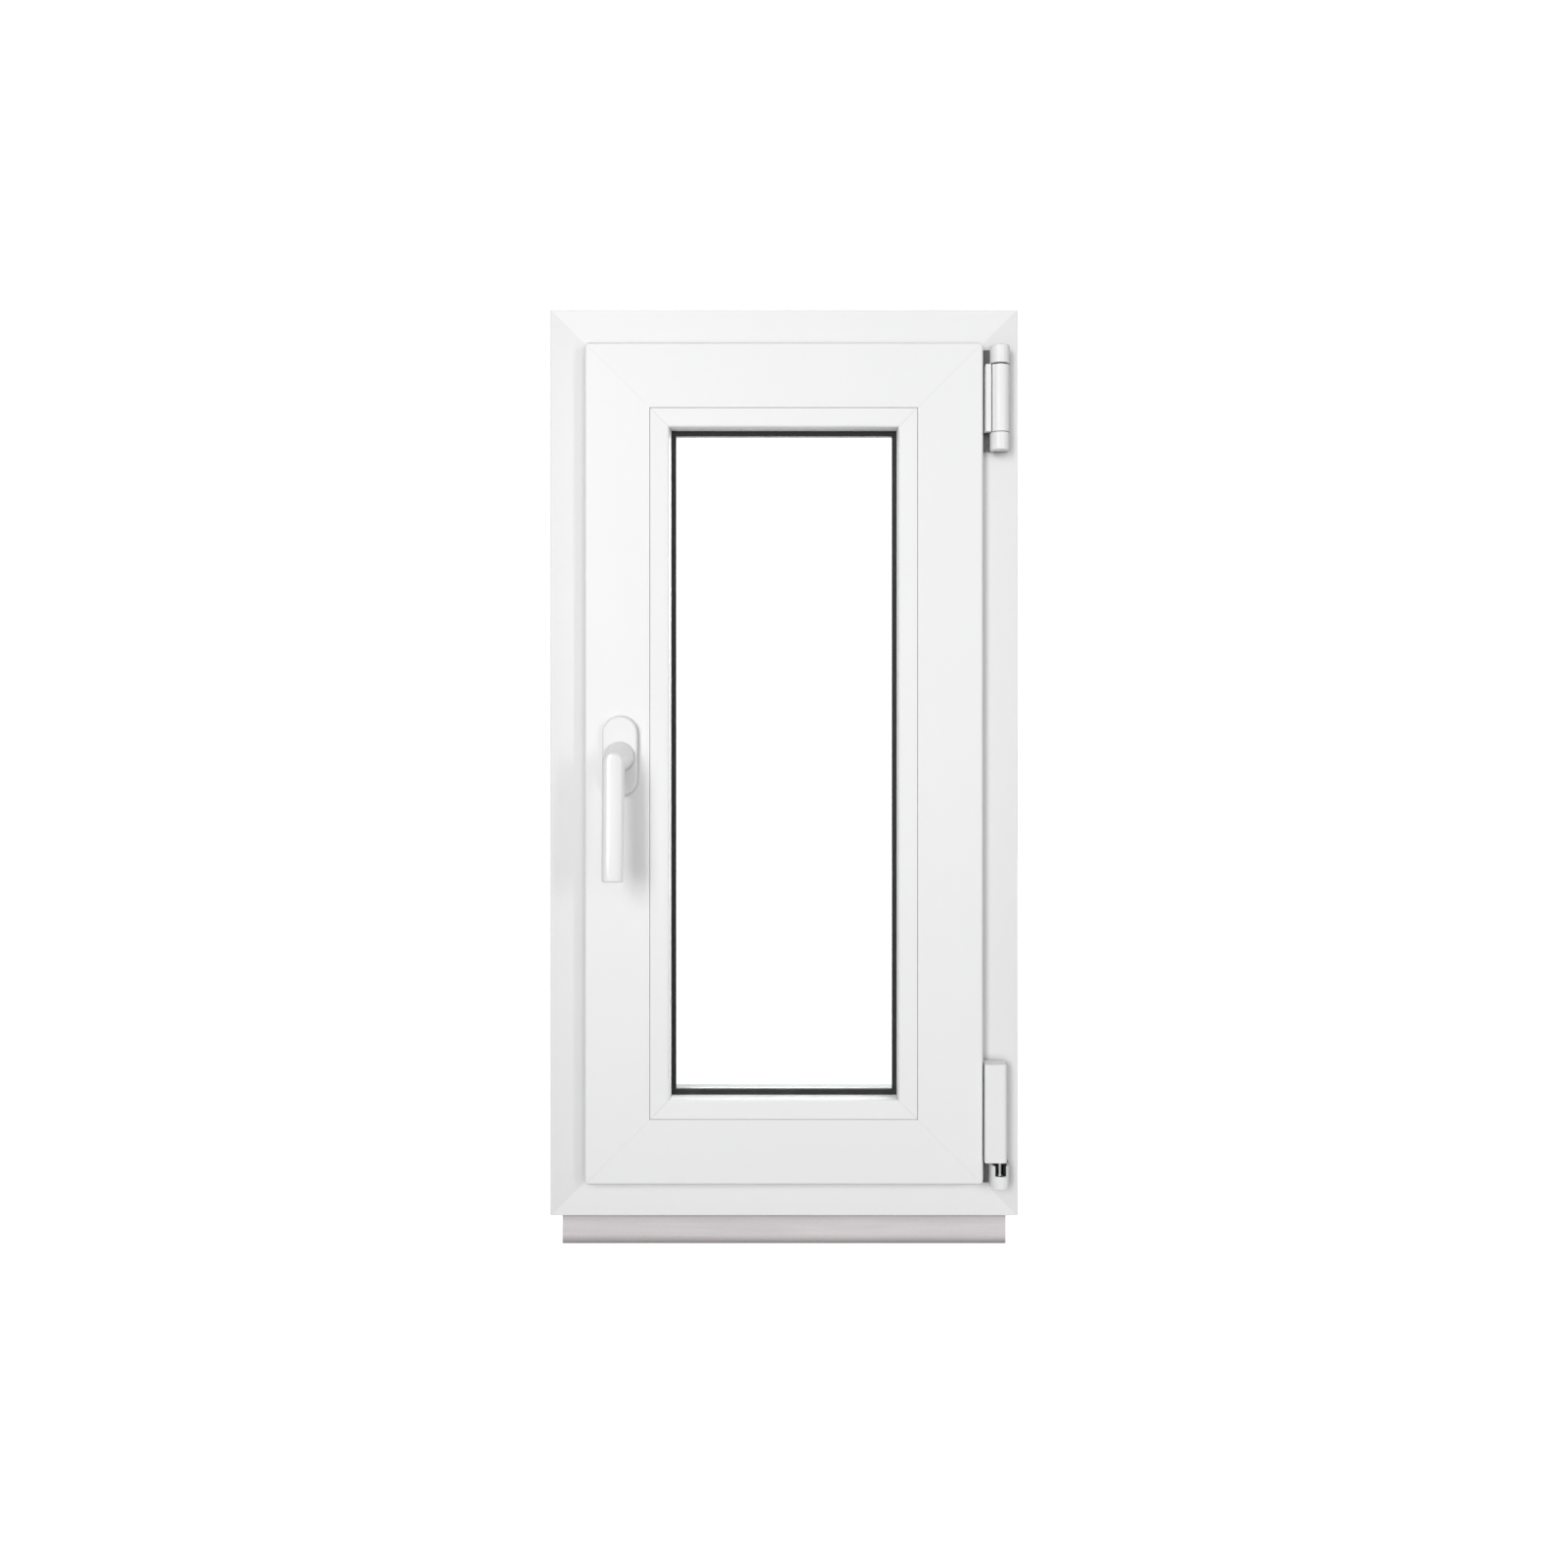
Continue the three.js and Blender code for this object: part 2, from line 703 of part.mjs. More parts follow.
/** The slot that a cam runs in, from its place at rest to its place after the full stroke. */
function camSlot(side, at, travel) {
  const from = Math.min(at, at + travel) - CAM_R - CAM_CLEAR;
  const to = Math.max(at, at + travel) + CAM_R + CAM_CLEAR;
  return strip(side, [SASH_BODY - 1, 61.2], CAM_R + CAM_CLEAR, [from, to]);
}

const LOCK_CAMS = [300, 740];
const TOP_CAM = -64;
const BOTTOM_CAM = -95;

/** Rack teeth on the lock rod, in mesh with the pinion at rest: a gap lies opposite a pinion tooth. */
function rackTeeth() {
  const pitch = Math.PI * MODULE;
  const pitchLine = SPINDLE_U - PITCH_R;
  const teeth = [];
  for (let k = -2; k <= 10; k++) {
    const z = SPINDLE_Z + (k + 0.5) * pitch;
    const rootHalf = pitch * 0.29;
    const tipHalf = pitch * 0.11;
    const rootX = -HALF + pitchLine - 1.3 * MODULE;
    const tipX = -HALF + pitchLine + 0.9 * MODULE;
    teeth.push(
      plate(
        [
          [rootX - 0.5, z - rootHalf],
          [tipX, z - tipHalf],
          [tipX, z + tipHalf],
          [rootX - 0.5, z + rootHalf],
        ],
        [GROOVE_Y - 4, GROOVE_Y + 4],
      ),
    );
  }
  return join(...teeth);
}

add(
  hardware,
  "lock_rod",
  "zinc",
  join(
    strip("lock", ROD, ROD_HALF, [205, 830]),
    ...LOCK_CAMS.map((z) => cam("lock", z)),
    rackTeeth(),
  ),
);
add(
  hardware,
  "top_rod",
  "zinc",
  join(strip("head", ROD, ROD_HALF, [-112, 60]), cam("head", TOP_CAM)),
);
add(
  hardware,
  "bottom_rod",
  "zinc",
  join(strip("sill", ROD, ROD_HALF, [-140, 60]), cam("sill", BOTTOM_CAM)),
);

const CORNER_LEG = 100;
const SASH_LEFT = -HALF + FACEPLATE[0];
const SASH_TOP = FRAME_TOP - FACEPLATE[0];
const SASH_FOOT = FRAME_BOTTOM + FACEPLATE[0];

add(
  sash,
  "lock_faceplate",
  "zinc",
  cut(
    strip("lock", FACEPLATE, FACEPLATE_HALF, [
      SASH_FOOT + CORNER_LEG + GAP,
      SASH_TOP - CORNER_LEG - GAP,
    ]),
    ...LOCK_CAMS.map((z) => camSlot("lock", z, -STROKE)),
  ),
);

const SLIDER_X = HINGE_X - 229.5;
const SLIDER_TRAVEL = 13.6;
const STAY_SLOT = [SLIDER_X - 7.5, SLIDER_X + SLIDER_TRAVEL + 7.5];
add(
  sash,
  "top_faceplate",
  "zinc",
  cut(
    strip("head", FACEPLATE, FACEPLATE_HALF, [SASH_LEFT + 65 + GAP, 150]),
    camSlot("head", TOP_CAM, -STROKE),
    strip("head", [57, 62], 5, STAY_SLOT),
  ),
);

/** An L-shaped corner drive: two faceplate legs and the guide block for the band between the rods. */
function cornerDrive(top, across) {
  const side = top ? "head" : "sill";
  const edge = top ? SASH_TOP : SASH_FOOT;
  const inward = top ? -1 : 1;
  const span = (a, b) => inOrder(edge + inward * a, edge + inward * b);
  return join(
    strip("lock", FACEPLATE, FACEPLATE_HALF, span(0, CORNER_LEG)),
    strip(side, FACEPLATE, FACEPLATE_HALF, [SASH_LEFT, across]),
    strip("lock", [60.5, 68.5], ROD_HALF, span(2, 68)),
    strip(side, [60.5, 68.5], ROD_HALF, [SASH_LEFT + 2, -152]),
  );
}
add(sash, "corner_drive_top", "zinc", cornerDrive(true, SASH_LEFT + 65));
add(
  sash,
  "corner_drive_bottom",
  "zinc",
  cut(cornerDrive(false, 110), camSlot("sill", BOTTOM_CAM, STROKE)),
);

const GEARBOX_Y = [GROOVE_Y - 5.5, GROOVE_Y + 5.5];
add(
  sash,
  "gearbox_case",
  "die_cast",
  cut(
    box([-HALF + 67, -HALF + 91], GEARBOX_Y, [SPINDLE_Z - 50, SPINDLE_Z + 50]),
    stub(SPINDLE_X, SPINDLE_Z, [GROOVE_Y - 4.3, GROOVE_Y + 4.3], PITCH_R + 2),
    stub(SPINDLE_X, SPINDLE_Z, [GROOVE_Y - 7, GROOVE_Y + 7], 6.6),
    ...SCREW_OFFSETS.map((dz) =>
      stub(SPINDLE_X, SPINDLE_Z + dz, [GROOVE_Y - 7, GROOVE_Y + 7], 2.9),
    ),
  ),
);

/** The pinion, with straight-sided teeth thin enough to run free in the rack. */
function pinion() {
  const points = [];
  const step = (2 * Math.PI) / TEETH;
  const root = PITCH_R - 1.3 * MODULE;
  const tip = PITCH_R + 0.9 * MODULE;
  const at = (radius, angle) => [
    SPINDLE_X - radius * Math.cos(angle),
    SPINDLE_Z + radius * Math.sin(angle),
  ];
  for (let k = 0; k < TEETH; k++) {
    points.push(
      at(root, (k - 0.27) * step),
      at(tip, (k - 0.1) * step),
      at(tip, (k + 0.1) * step),
      at(root, (k + 0.27) * step),
    );
  }
  const hub = stub(SPINDLE_X, SPINDLE_Z, [GROOVE_Y - 5.3, GROOVE_Y + 5.3], 6.3);
  const half = SPINDLE / 2 + GAP;
  const socket = box(
    [SPINDLE_X - half, SPINDLE_X + half],
    [GROOVE_Y - 6, GROOVE_Y + 6],
    [SPINDLE_Z - half, SPINDLE_Z + half],
  );
  return cut(join(plate(points, [GROOVE_Y - 3.9, GROOVE_Y + 3.9]), hub), socket);
}
add(hardware, "handle_pinion", "zinc", pinion());
add(
  hardware,
  "handle_spindle",
  "zinc",
  box(
    [SPINDLE_X - SPINDLE / 2, SPINDLE_X + SPINDLE / 2],
    [-92, GROOVE_Y + 5],
    [SPINDLE_Z - SPINDLE / 2, SPINDLE_Z + SPINDLE / 2],
  ),
);

// ---------------------------------------------------------------- handle

/** A stadium pad about the spindle axis: round ends, and a rounded edge towards the room. */
function pad(width, height, [y0, y1], edge) {
  const r = width / 2 - edge;
  const straight = height / 2 - width / 2;
  const shape = new THREE.Shape();
  shape.absarc(SPINDLE_X, SPINDLE_Z + straight, r, 0, Math.PI, false);
  shape.absarc(SPINDLE_X, SPINDLE_Z - straight, r, Math.PI, 2 * Math.PI, false);
  const g = new THREE.ExtrudeGeometry(shape, {
    depth: y1 - y0,
    curveSegments: ROUND / 2,
    bevelEnabled: true,
    bevelThickness: edge,
    bevelSize: edge,
    bevelSegments: 4,
  });
  g.rotateX(Math.PI / 2);
  g.translate(0, y1 + edge, 0);
  const back = box([SPINDLE_X - width, SPINDLE_X + width], [y1, y1 + 4 * edge], [
    SPINDLE_Z - height,
    SPINDLE_Z + height,
  ]);
  return cut(solidOf(g), back);
}

const ROSETTE = { width: 35, height: 81, depth: 10, wall: 1.8 };
const ROSETTE_FRONT = SASH_ROOM - GAP - ROSETTE.depth;
add(
  sash,
  "rosette_base",
  "die_cast",
  cut(
    pad(30.5, 76.5, [SASH_ROOM - 6.5, SASH_ROOM - GAP], 0.8),
    stub(SPINDLE_X, SPINDLE_Z, [SASH_ROOM - 8, SASH_ROOM + 1], 9),
    ...SCREW_OFFSETS.map((dz) =>
      join(
        stub(SPINDLE_X, SPINDLE_Z + dz, [SASH_ROOM - 8, SASH_ROOM + 1], 2.9),
        stub(SPINDLE_X, SPINDLE_Z + dz, [SASH_ROOM - 7, SASH_ROOM - 3.5], 5.1),
      ),
    ),
  ),
);
add(
  sash,
  "rosette_cover",
  "white_coated",
  cut(
    pad(ROSETTE.width, ROSETTE.height, [ROSETTE_FRONT, SASH_ROOM - GAP], 2.2),
    pad(
      ROSETTE.width - 2 * ROSETTE.wall,
      ROSETTE.height - 2 * ROSETTE.wall,
      [ROSETTE_FRONT + ROSETTE.wall, SASH_ROOM + 1],
      1,
    ),
    stub(SPINDLE_X, SPINDLE_Z, [ROSETTE_FRONT - 1, SASH_ROOM], 12.4),
  ),
);
SCREW_OFFSETS.forEach((dz, i) => {
  add(
    sash,
    i === 0 ? "rosette_screw_upper" : "rosette_screw_lower",
    "zinc",
    join(
      stub(SPINDLE_X, SPINDLE_Z + dz, [SASH_ROOM - 6.3, SASH_ROOM - 3.9], 4.7),
      stub(SPINDLE_X, SPINDLE_Z + dz, [SASH_ROOM - 4.5, GROOVE_Y + 2], 2.5, 2.5, 16),
    ),
  );
});

const COLLAR_R = 15.3; // where the lever meets the rosette
const GRIP_TOP = 6.2; // above the spindle axis
const GRIP_END = -120;
const GRIP_HALF = 10.7;
const GRIP_FRONT = -114.5;
const GRIP_BACK = -101.5;
const GRIP_LEAN = 5; // how much further out the grip's end stands than its top
const SKIN = 28; // points round each of the lever's sections

/** Points of a squarish oval with half axes a and b. */
function oval(a, b, power) {
  const points = [];
  for (let i = 0; i < SKIN; i++) {
    const c = Math.cos((2 * Math.PI * i) / SKIN);
    const d = Math.sin((2 * Math.PI * i) / SKIN);
    const p = a * Math.sign(c) * Math.abs(c) ** (2 / power);
    const q = b * Math.sign(d) * Math.abs(d) ** (2 / power);
    points.push([p, q]);
  }
  return points;
}

/** A solid skinned over rows of points, closed at both ends. */
function loft(rows) {
  const index = [];
  for (let s = 0; s < rows.length - 1; s++) {
    for (let i = 0; i < SKIN; i++) {
      const a = s * SKIN + i;
      const b = s * SKIN + ((i + 1) % SKIN);
      index.push(a, b, b + SKIN, a, b + SKIN, a + SKIN);
    }
  }
  const last = (rows.length - 1) * SKIN;
  for (let i = 1; i < SKIN - 1; i++) {
    index.push(i + 1, i, 0);
    index.push(last, last + i, last + i + 1);
  }
  const g = new THREE.BufferGeometry();
  g.setAttribute("position", new THREE.Float32BufferAttribute(rows.flat(2), 3));
  g.setIndex(index);
  return solidOf(g);
}

/** How far a quarter-round of radius r has fallen back at a distance d from its end. */
function quarterRound(r, d) {
  return d >= r ? 0 : r - Math.sqrt(r * r - (r - d) * (r - d));
}

/** The grip: a flattened bar that hangs from its round top, with softly rounded ends. */
function leverGrip() {
  const topSteps = [0.06, 0.5, 1.2, 2.2, 3.5, 5, 6.8, 8.7, GRIP_HALF, 14, 20];
  const endSteps = [1.6, 0.9, 0.3, 0];
  const length = GRIP_TOP - GRIP_END;
  const depths = [
    ...topSteps,
    ...[0.25, 0.35, 0.45, 0.55, 0.65, 0.75, 0.85, 0.93].map((t) => t * length),
    ...endSteps.map((d) => length - d),
  ];
  return loft(
    depths.map((d) => {
      const fromEnd = quarterRound(1.6, length - d);
      const half = GRIP_HALF - quarterRound(GRIP_HALF, d) - fromEnd;
      const lean = GRIP_LEAN * THREE.MathUtils.smoothstep(d / length, 0.05, 1.2);
      const front = GRIP_FRONT - lean + quarterRound(3.5, d) + fromEnd;
      const back = GRIP_BACK - lean - quarterRound(4, d) - fromEnd;
      const z = SPINDLE_Z + GRIP_TOP - d;
      return oval(half, (back - front) / 2, 3.2).map(([p, q]) => [
        SPINDLE_X + p,
        (back + front) / 2 + q,
        z,
      ]);
    }),
  );
}

/** The neck: from the round collar forwards and a little down, flaring into the grip's back. */
function leverNeck() {
  const rows = [];
  const steps = 14;
  for (let s = 0; s <= steps; s++) {
    const t = s / steps;
    const ease = THREE.MathUtils.smoothstep(t, -0.15, 1);
    const flare = THREE.MathUtils.smoothstep(t, 0.6, 1) ** 1.5;
    const half = THREE.MathUtils.lerp(COLLAR_R, GRIP_HALF - 0.4, ease);
    const top = THREE.MathUtils.lerp(COLLAR_R, GRIP_TOP - 0.3, ease);
    const foot = THREE.MathUtils.lerp(-COLLAR_R, -16.5, ease) - 9 * flare;
    const y = THREE.MathUtils.lerp(ROSETTE_FRONT - GAP, GRIP_BACK - 3.5, t);
    rows.push(
      oval(half, (top - foot) / 2, 2.1).map(([p, q]) => [
        SPINDLE_X + p,
        y,
        SPINDLE_Z + (top + foot) / 2 + q,
      ]),
    );
  }
  return loft(rows);
}

const leverJournal = stub(SPINDLE_X, SPINDLE_Z, [ROSETTE_FRONT - 1, SASH_ROOM - GAP], 8.6);
const leverBoss = stub(SPINDLE_X, SPINDLE_Z, [ROSETTE_FRONT - 1, ROSETTE_FRONT + 1.5], 12);
const leverSocket = box(
  [SPINDLE_X - SPINDLE / 2 - GAP, SPINDLE_X + SPINDLE / 2 + GAP],
  [-92.5, SASH_ROOM + 1],
  [SPINDLE_Z - SPINDLE / 2 - GAP, SPINDLE_Z + SPINDLE / 2 + GAP],
);
add(
  hardware,
  "handle_lever",
  "white_coated",
  cut(join(leverNeck(), leverGrip(), leverBoss, leverJournal), leverSocket),
);

// ---------------------------------------------------------------- keeps

const KEEP_HALF = 36; // half its length
const KEEP_SCREW_R = 2.2;
const KEEP_SCREW_INSET = 7;
const CAM_CLEARANCE = 1; // between a cam's tip and the keep's lip

/** A keep: a plate screwed to the frame's rebate, with low lips on the room side of the cam. */
function keepPlate(side, at, lips) {
  const base = [REBATE + GAP, REBATE + 2.8];
  const baseDepth = [GROOVE_Y - 8.5, GROOVE_Y + 8];
  const lip = [REBATE + GAP, CAM_TIP - CAM_CLEARANCE];
  const lipDepth = [GROOVE_Y - 8.5, GROOVE_Y - 4.8];
  const hole = (place) => crossbar(side, place, [REBATE - 1, REBATE + 4], KEEP_SCREW_R, 16);
  return cut(
    join(
      block(side, base, baseDepth, [at - KEEP_HALF, at + KEEP_HALF]),
      ...lips.map(([from, to]) => block(side, lip, lipDepth, [at + from, at + to])),
    ),
    hole(at - KEEP_HALF + KEEP_SCREW_INSET),
    hole(at + KEEP_HALF - KEEP_SCREW_INSET),
  );
}
add(frame, "lower_keep", "zinc", keepPlate("lock", LOCK_CAMS[0], [[-9, 22]]));
add(frame, "upper_keep", "zinc", keepPlate("lock", LOCK_CAMS[1], [[-9, 22]]));
add(frame, "head_keep", "zinc", keepPlate("head", TOP_CAM, [[-9, 22]]));
add(
  frame,
  "tilt_keep",
  "zinc",
  keepPlate("sill", BOTTOM_CAM + STROKE / 2, [
    [-28, -9],
    [9, 28],
  ]),
);

// ---------------------------------------------------------------- upper hinge and stay

const UPPER_KNUCKLES = [
  [814.2, CRANK_Z[0] - 0.6],
  [CRANK_Z[1] + 1.6, 918],
];
const PIN_Z = [815, 917.2];
const PIN_R = 4;

const BASE_Y = [-37.8, FRAME_ROOM - GAP];
const hingeBase = (z) => box([HINGE_X - 8, HINGE_X + 10], BASE_Y, z);
/** The foot of a hinge's base plate, which reaches almost to the sash's edge. */
const hingeFoot = (z) => box([HINGE_X - 15.7, HINGE_X - 7], BASE_Y, z);
const hingeWeb = (z, clear = 0) =>
  box([HINGE_X - 5.5 - clear, HINGE_X + 8.5 + clear], [-46, -37.5], [z[0] - clear, z[1] + clear]);

add(
  frame,
  "upper_hinge_bearing",
  "zinc",
  cut(
    join(
      hingeBase([UPPER_KNUCKLES[0][0], UPPER_KNUCKLES[1][1]]),
      ...UPPER_KNUCKLES.flatMap((z) => [
        hingeFoot(z),
        hingeWeb(z),
        post(HINGE_X, HINGE_Y, z, KNUCKLE_R),
      ]),
    ),
    post(HINGE_X, HINGE_Y, [PIN_Z[0] - 2, PIN_Z[1] + 2], PIN_R + GAP),
  ),
);
add(frame, "upper_hinge_pin", "zinc", post(HINGE_X, HINGE_Y, PIN_Z, PIN_R, PIN_R, 24));

/** A turned barrel on the hinge axis, its two rims rounded by the radii given. */
function barrel([z0, z1], r, lowRim, highRim) {
  const rim = (z, radius, inward, k) => {
    const angle = (Math.PI / 2) * (k / ARC_STEPS);
    const out = r - radius + radius * Math.sin(angle);
    return new THREE.Vector2(out, z + inward * radius * (1 - Math.cos(angle)));
  };
  const profile = [new THREE.Vector2(0, z0)];
  for (let k = 0; k <= ARC_STEPS; k++) profile.push(rim(z0, lowRim, 1, k));
  for (let k = ARC_STEPS; k >= 0; k--) profile.push(rim(z1, highRim, -1, k));
  profile.push(new THREE.Vector2(0, z1));
  const g = new THREE.LatheGeometry(profile, ROUND + 4);
  g.rotateX(Math.PI / 2);
  g.translate(HINGE_X, HINGE_Y, 0);
  return solidOf(g);
}

/** The white sleeve over one knuckle of the bearing, closed at its outer end. */
function knuckleCap([z0, z1], closedAbove) {
  const outer = closedAbove
    ? barrel([z0, z1 + 1.5], BARREL_R, 0.4, 1.4)
    : barrel([z0 - 1.5, z1], BARREL_R, 1.4, 0.4);
  const inner = post(
    HINGE_X,
    HINGE_Y,
    closedAbove ? [z0 - 1, z1 + GAP] : [z0 - GAP, z1 + 1],
    KNUCKLE_R + GAP,
  );
  const web = box([HINGE_X - 6, HINGE_X + 9.2], [-46, -36], [z0 - 3, z1 + 3]);
  return cut(outer, inner, web);
}
add(frame, "upper_hinge_cap_lower", "white_coated", knuckleCap(UPPER_KNUCKLES[0], false));
add(frame, "upper_hinge_cap_upper", "white_coated", knuckleCap(UPPER_KNUCKLES[1], true));

const LEAF_X = [204.2, 206.5];
const LEAF_GAP_Y = [-38.2, -36];
const WEB_Y = [-48, -44];
const BAR_Z = [905.5, 908.5];
const CRANK_X = [188, 190.5];

/** The leaf that leads from the barrel behind the sash's edge to a plate in the rebate. */
function hingeLeaf(z, plateX) {
  return join(
    box([LEAF_X[0], HINGE_X - 2], WEB_Y, z),
    box(LEAF_X, [WEB_Y[0], LEAF_GAP_Y[1]], z),
    box([plateX[0], LEAF_X[1]], LEAF_GAP_Y, z),
    box(plateX, [LEAF_GAP_Y[0], GROOVE_Y + 8], z),
  );
}

add(
  hardware,
  "stay_arm",
  "zinc",
  cut(
    join(
      post(HINGE_X, HINGE_Y, CRANK_Z, KNUCKLE_R),
      hingeLeaf(CRANK_Z, CRANK_X),
      box(CRANK_X, [LEAF_GAP_Y[0], GROOVE_Y + 8], [CRANK_Z[1] - 1, BAR_Z[1]]),
      box([SLIDER_X - 8, CRANK_X[1]], [GROOVE_Y - 8, GROOVE_Y + 8], BAR_Z),
      post(SLIDER_X - 8, GROOVE_Y, BAR_Z, 8),
    ),
    post(HINGE_X, HINGE_Y, [CRANK_Z[0] - 1, CRANK_Z[1] + 1], PIN_R + 0.3),
    box([SLIDER_X - 10, SLIDER_X + 10], [GROOVE_Y - 5.2, GROOVE_Y + 5.2], [904, 910]),
  ),
);
add(
  hardware,
  "stay_arm_cover",
  "white_coated",
  cut(
    join(
      barrel(CRANK_Z, BARREL_R, 0.4, 0.4),
      box([LEAF_X[0] + 0.4, 213], [-56, WEB_Y[0] - GAP], CRANK_Z),
    ),
    post(HINGE_X, HINGE_Y, [CRANK_Z[0] - 1, CRANK_Z[1] + 1], KNUCKLE_R + GAP),
    box([200, HINGE_X], [WEB_Y[0] - GAP, WEB_Y[1] + GAP], [CRANK_Z[0] - 1, CRANK_Z[1] + 1]),
    box([209.8, 211.4], [-57, -52], [CRANK_Z[0] - 1, CRANK_Z[1] + 1]),
  ),
);
add(
  hardware,
  "stay_slider",
  "zinc",
  join(
    box([SLIDER_X - 7, SLIDER_X + 7], [GROOVE_Y - 4.7, GROOVE_Y + 4.7], [899.3, 904.7]),
    post(SLIDER_X, GROOVE_Y, [904, 912], 3, 3, 20),
  ),
);

// ---------------------------------------------------------------- lower corner hinge

const CUP_Z = [66.5, 76.5];
add(
  frame,
  "corner_bearing",
  "zinc",
  cut(
    join(
      hingeBase([65, 87.5]),
      hingeFoot([65, 87.5]),
      hingeWeb(CUP_Z),
      post(HINGE_X, HINGE_Y, CUP_Z, KNUCKLE_R),
    ),
    post(HINGE_X, HINGE_Y, [68.5, 80], 3.6 + GAP),
  ),
);
add(
  frame,
  "corner_bearing_cover",
  "white_coated",
  cut(
    join(
      post(HINGE_X, HINGE_Y, [65, 87.5], 9.6),
      box([HINGE_X - 9.6, HINGE_X + 8.6], [HINGE_Y, -38.2], [65, 87.5]),
    ),
    post(HINGE_X, HINGE_Y, [66.2, 90], KNUCKLE_R + GAP),
    box([HINGE_X - 6, HINGE_X + 9.2], [-49, -30], [66.2, 76.8]),
    box([HINGE_X - 5.6, HINGE_X + 5.6], [-62, -49], [77.3, 90]),
  ),
);
add(
  hardware,
  "lower_pivot_pin",
  "zinc",
  join(
    post(HINGE_X, HINGE_Y, [69, 77.5], 3.6),
    post(HINGE_X, HINGE_Y, [77, 94.6], 2.3, 2.3, 20),
    post(HINGE_X, HINGE_Y, [94.5, 95.4], 2.3, 1.4, 20),
  ),
);

const BAND_PLATE_X = [182.3, 184.6];
const BAND_R = 5.6;
const SOCKET_Z = [88, 99];
const SOCKET_R = 2.6;
const SOCKET_RUN = 2.4; // the socket is longer in depth, so that the sash can lean on the pin
const BAND_COVER_Z = [91, 191];

/** The cover's outside: a plan section with soft corners, its two ends rounded off. */
function bandShell() {
  const edge = 1.2;
  const [x0, x1] = [203.2 + edge, 226.2 - edge];
  const [y0, y1] = [-58.5 + edge, -38.6 - edge];
  const shape = new THREE.Shape(
    outline([
      [x0, y0, 1.2],
      [x1, y0, 3.4],
      [x1, y1, 0.6],
      [x0, y1, 0.6],
    ]),
  );
  const g = new THREE.ExtrudeGeometry(shape, {
    depth: BAND_COVER_Z[1] - BAND_COVER_Z[0] - 2 * edge,
    bevelEnabled: true,
    bevelThickness: edge,
    bevelSize: edge,
    bevelSegments: 3,
  });
  g.translate(0, 0, BAND_COVER_Z[0] + edge);
  return solidOf(g);
}

add(
  sash,
  "corner_band",
  "zinc",
  cut(
    join(post(HINGE_X, HINGE_Y, BAND_Z, BAND_R), hingeLeaf(BAND_Z, BAND_PLATE_X)),
    post(HINGE_X, HINGE_Y, SOCKET_Z, SOCKET_R),
    post(HINGE_X, HINGE_Y + SOCKET_RUN, SOCKET_Z, SOCKET_R),
    box([HINGE_X - SOCKET_R, HINGE_X + SOCKET_R], [HINGE_Y, HINGE_Y + SOCKET_RUN], SOCKET_Z),
  ),
);
add(
  sash,
  "corner_band_cover",
  "white_coated",
  cut(
    bandShell(),
    post(HINGE_X, HINGE_Y, [90, BAND_Z[1] + GAP], BAND_R + GAP),
    box([200, HINGE_X], [WEB_Y[0] - GAP, WEB_Y[1] + GAP], [90, BAND_Z[1] + GAP]),
    box([200, LEAF_X[1] + GAP], [WEB_Y[0] - GAP, -30], [90, BAND_Z[1] + GAP]),
  ),
);

export default window_assembly;
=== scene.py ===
import json
import math

import bmesh
import bpy
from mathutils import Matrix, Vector

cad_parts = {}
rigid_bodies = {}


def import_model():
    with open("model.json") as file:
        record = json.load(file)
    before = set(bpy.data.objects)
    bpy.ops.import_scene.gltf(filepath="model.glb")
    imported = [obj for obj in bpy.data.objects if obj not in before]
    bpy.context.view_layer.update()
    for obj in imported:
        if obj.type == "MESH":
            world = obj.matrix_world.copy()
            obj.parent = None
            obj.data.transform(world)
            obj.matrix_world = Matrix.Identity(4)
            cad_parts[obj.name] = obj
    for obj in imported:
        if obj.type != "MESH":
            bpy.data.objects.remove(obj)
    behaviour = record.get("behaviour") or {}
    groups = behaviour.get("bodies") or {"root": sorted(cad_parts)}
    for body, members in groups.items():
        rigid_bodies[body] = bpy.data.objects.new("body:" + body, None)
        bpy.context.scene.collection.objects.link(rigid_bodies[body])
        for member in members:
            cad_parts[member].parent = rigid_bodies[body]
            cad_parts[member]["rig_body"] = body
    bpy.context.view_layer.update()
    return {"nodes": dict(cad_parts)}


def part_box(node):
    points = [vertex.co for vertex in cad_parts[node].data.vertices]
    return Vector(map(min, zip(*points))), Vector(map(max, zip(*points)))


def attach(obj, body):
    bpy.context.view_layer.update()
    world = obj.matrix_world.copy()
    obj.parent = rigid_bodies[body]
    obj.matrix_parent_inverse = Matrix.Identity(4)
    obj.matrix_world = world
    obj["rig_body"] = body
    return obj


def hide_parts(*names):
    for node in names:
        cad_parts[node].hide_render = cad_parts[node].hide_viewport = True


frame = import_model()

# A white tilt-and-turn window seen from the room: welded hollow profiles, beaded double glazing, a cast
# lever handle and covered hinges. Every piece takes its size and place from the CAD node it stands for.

MM = 0.001

# ---------------------------------------------------------------- shaders


def new_shader(name, colour, roughness, metallic=0.0, specular=0.5, coat=0.0):
    """A node material with one Principled shader."""
    material = bpy.data.materials.new(name)
    material.use_nodes = True
    inputs = material.node_tree.nodes["Principled BSDF"].inputs
    inputs["Base Color"].default_value = (*colour, 1)
    inputs["Roughness"].default_value = roughness
    inputs["Metallic"].default_value = metallic
    inputs["Specular IOR Level"].default_value = specular
    inputs["Coat Weight"].default_value = coat
    inputs["Coat Roughness"].default_value = 0.12
    material.diffuse_color = (*colour, 1)
    return material


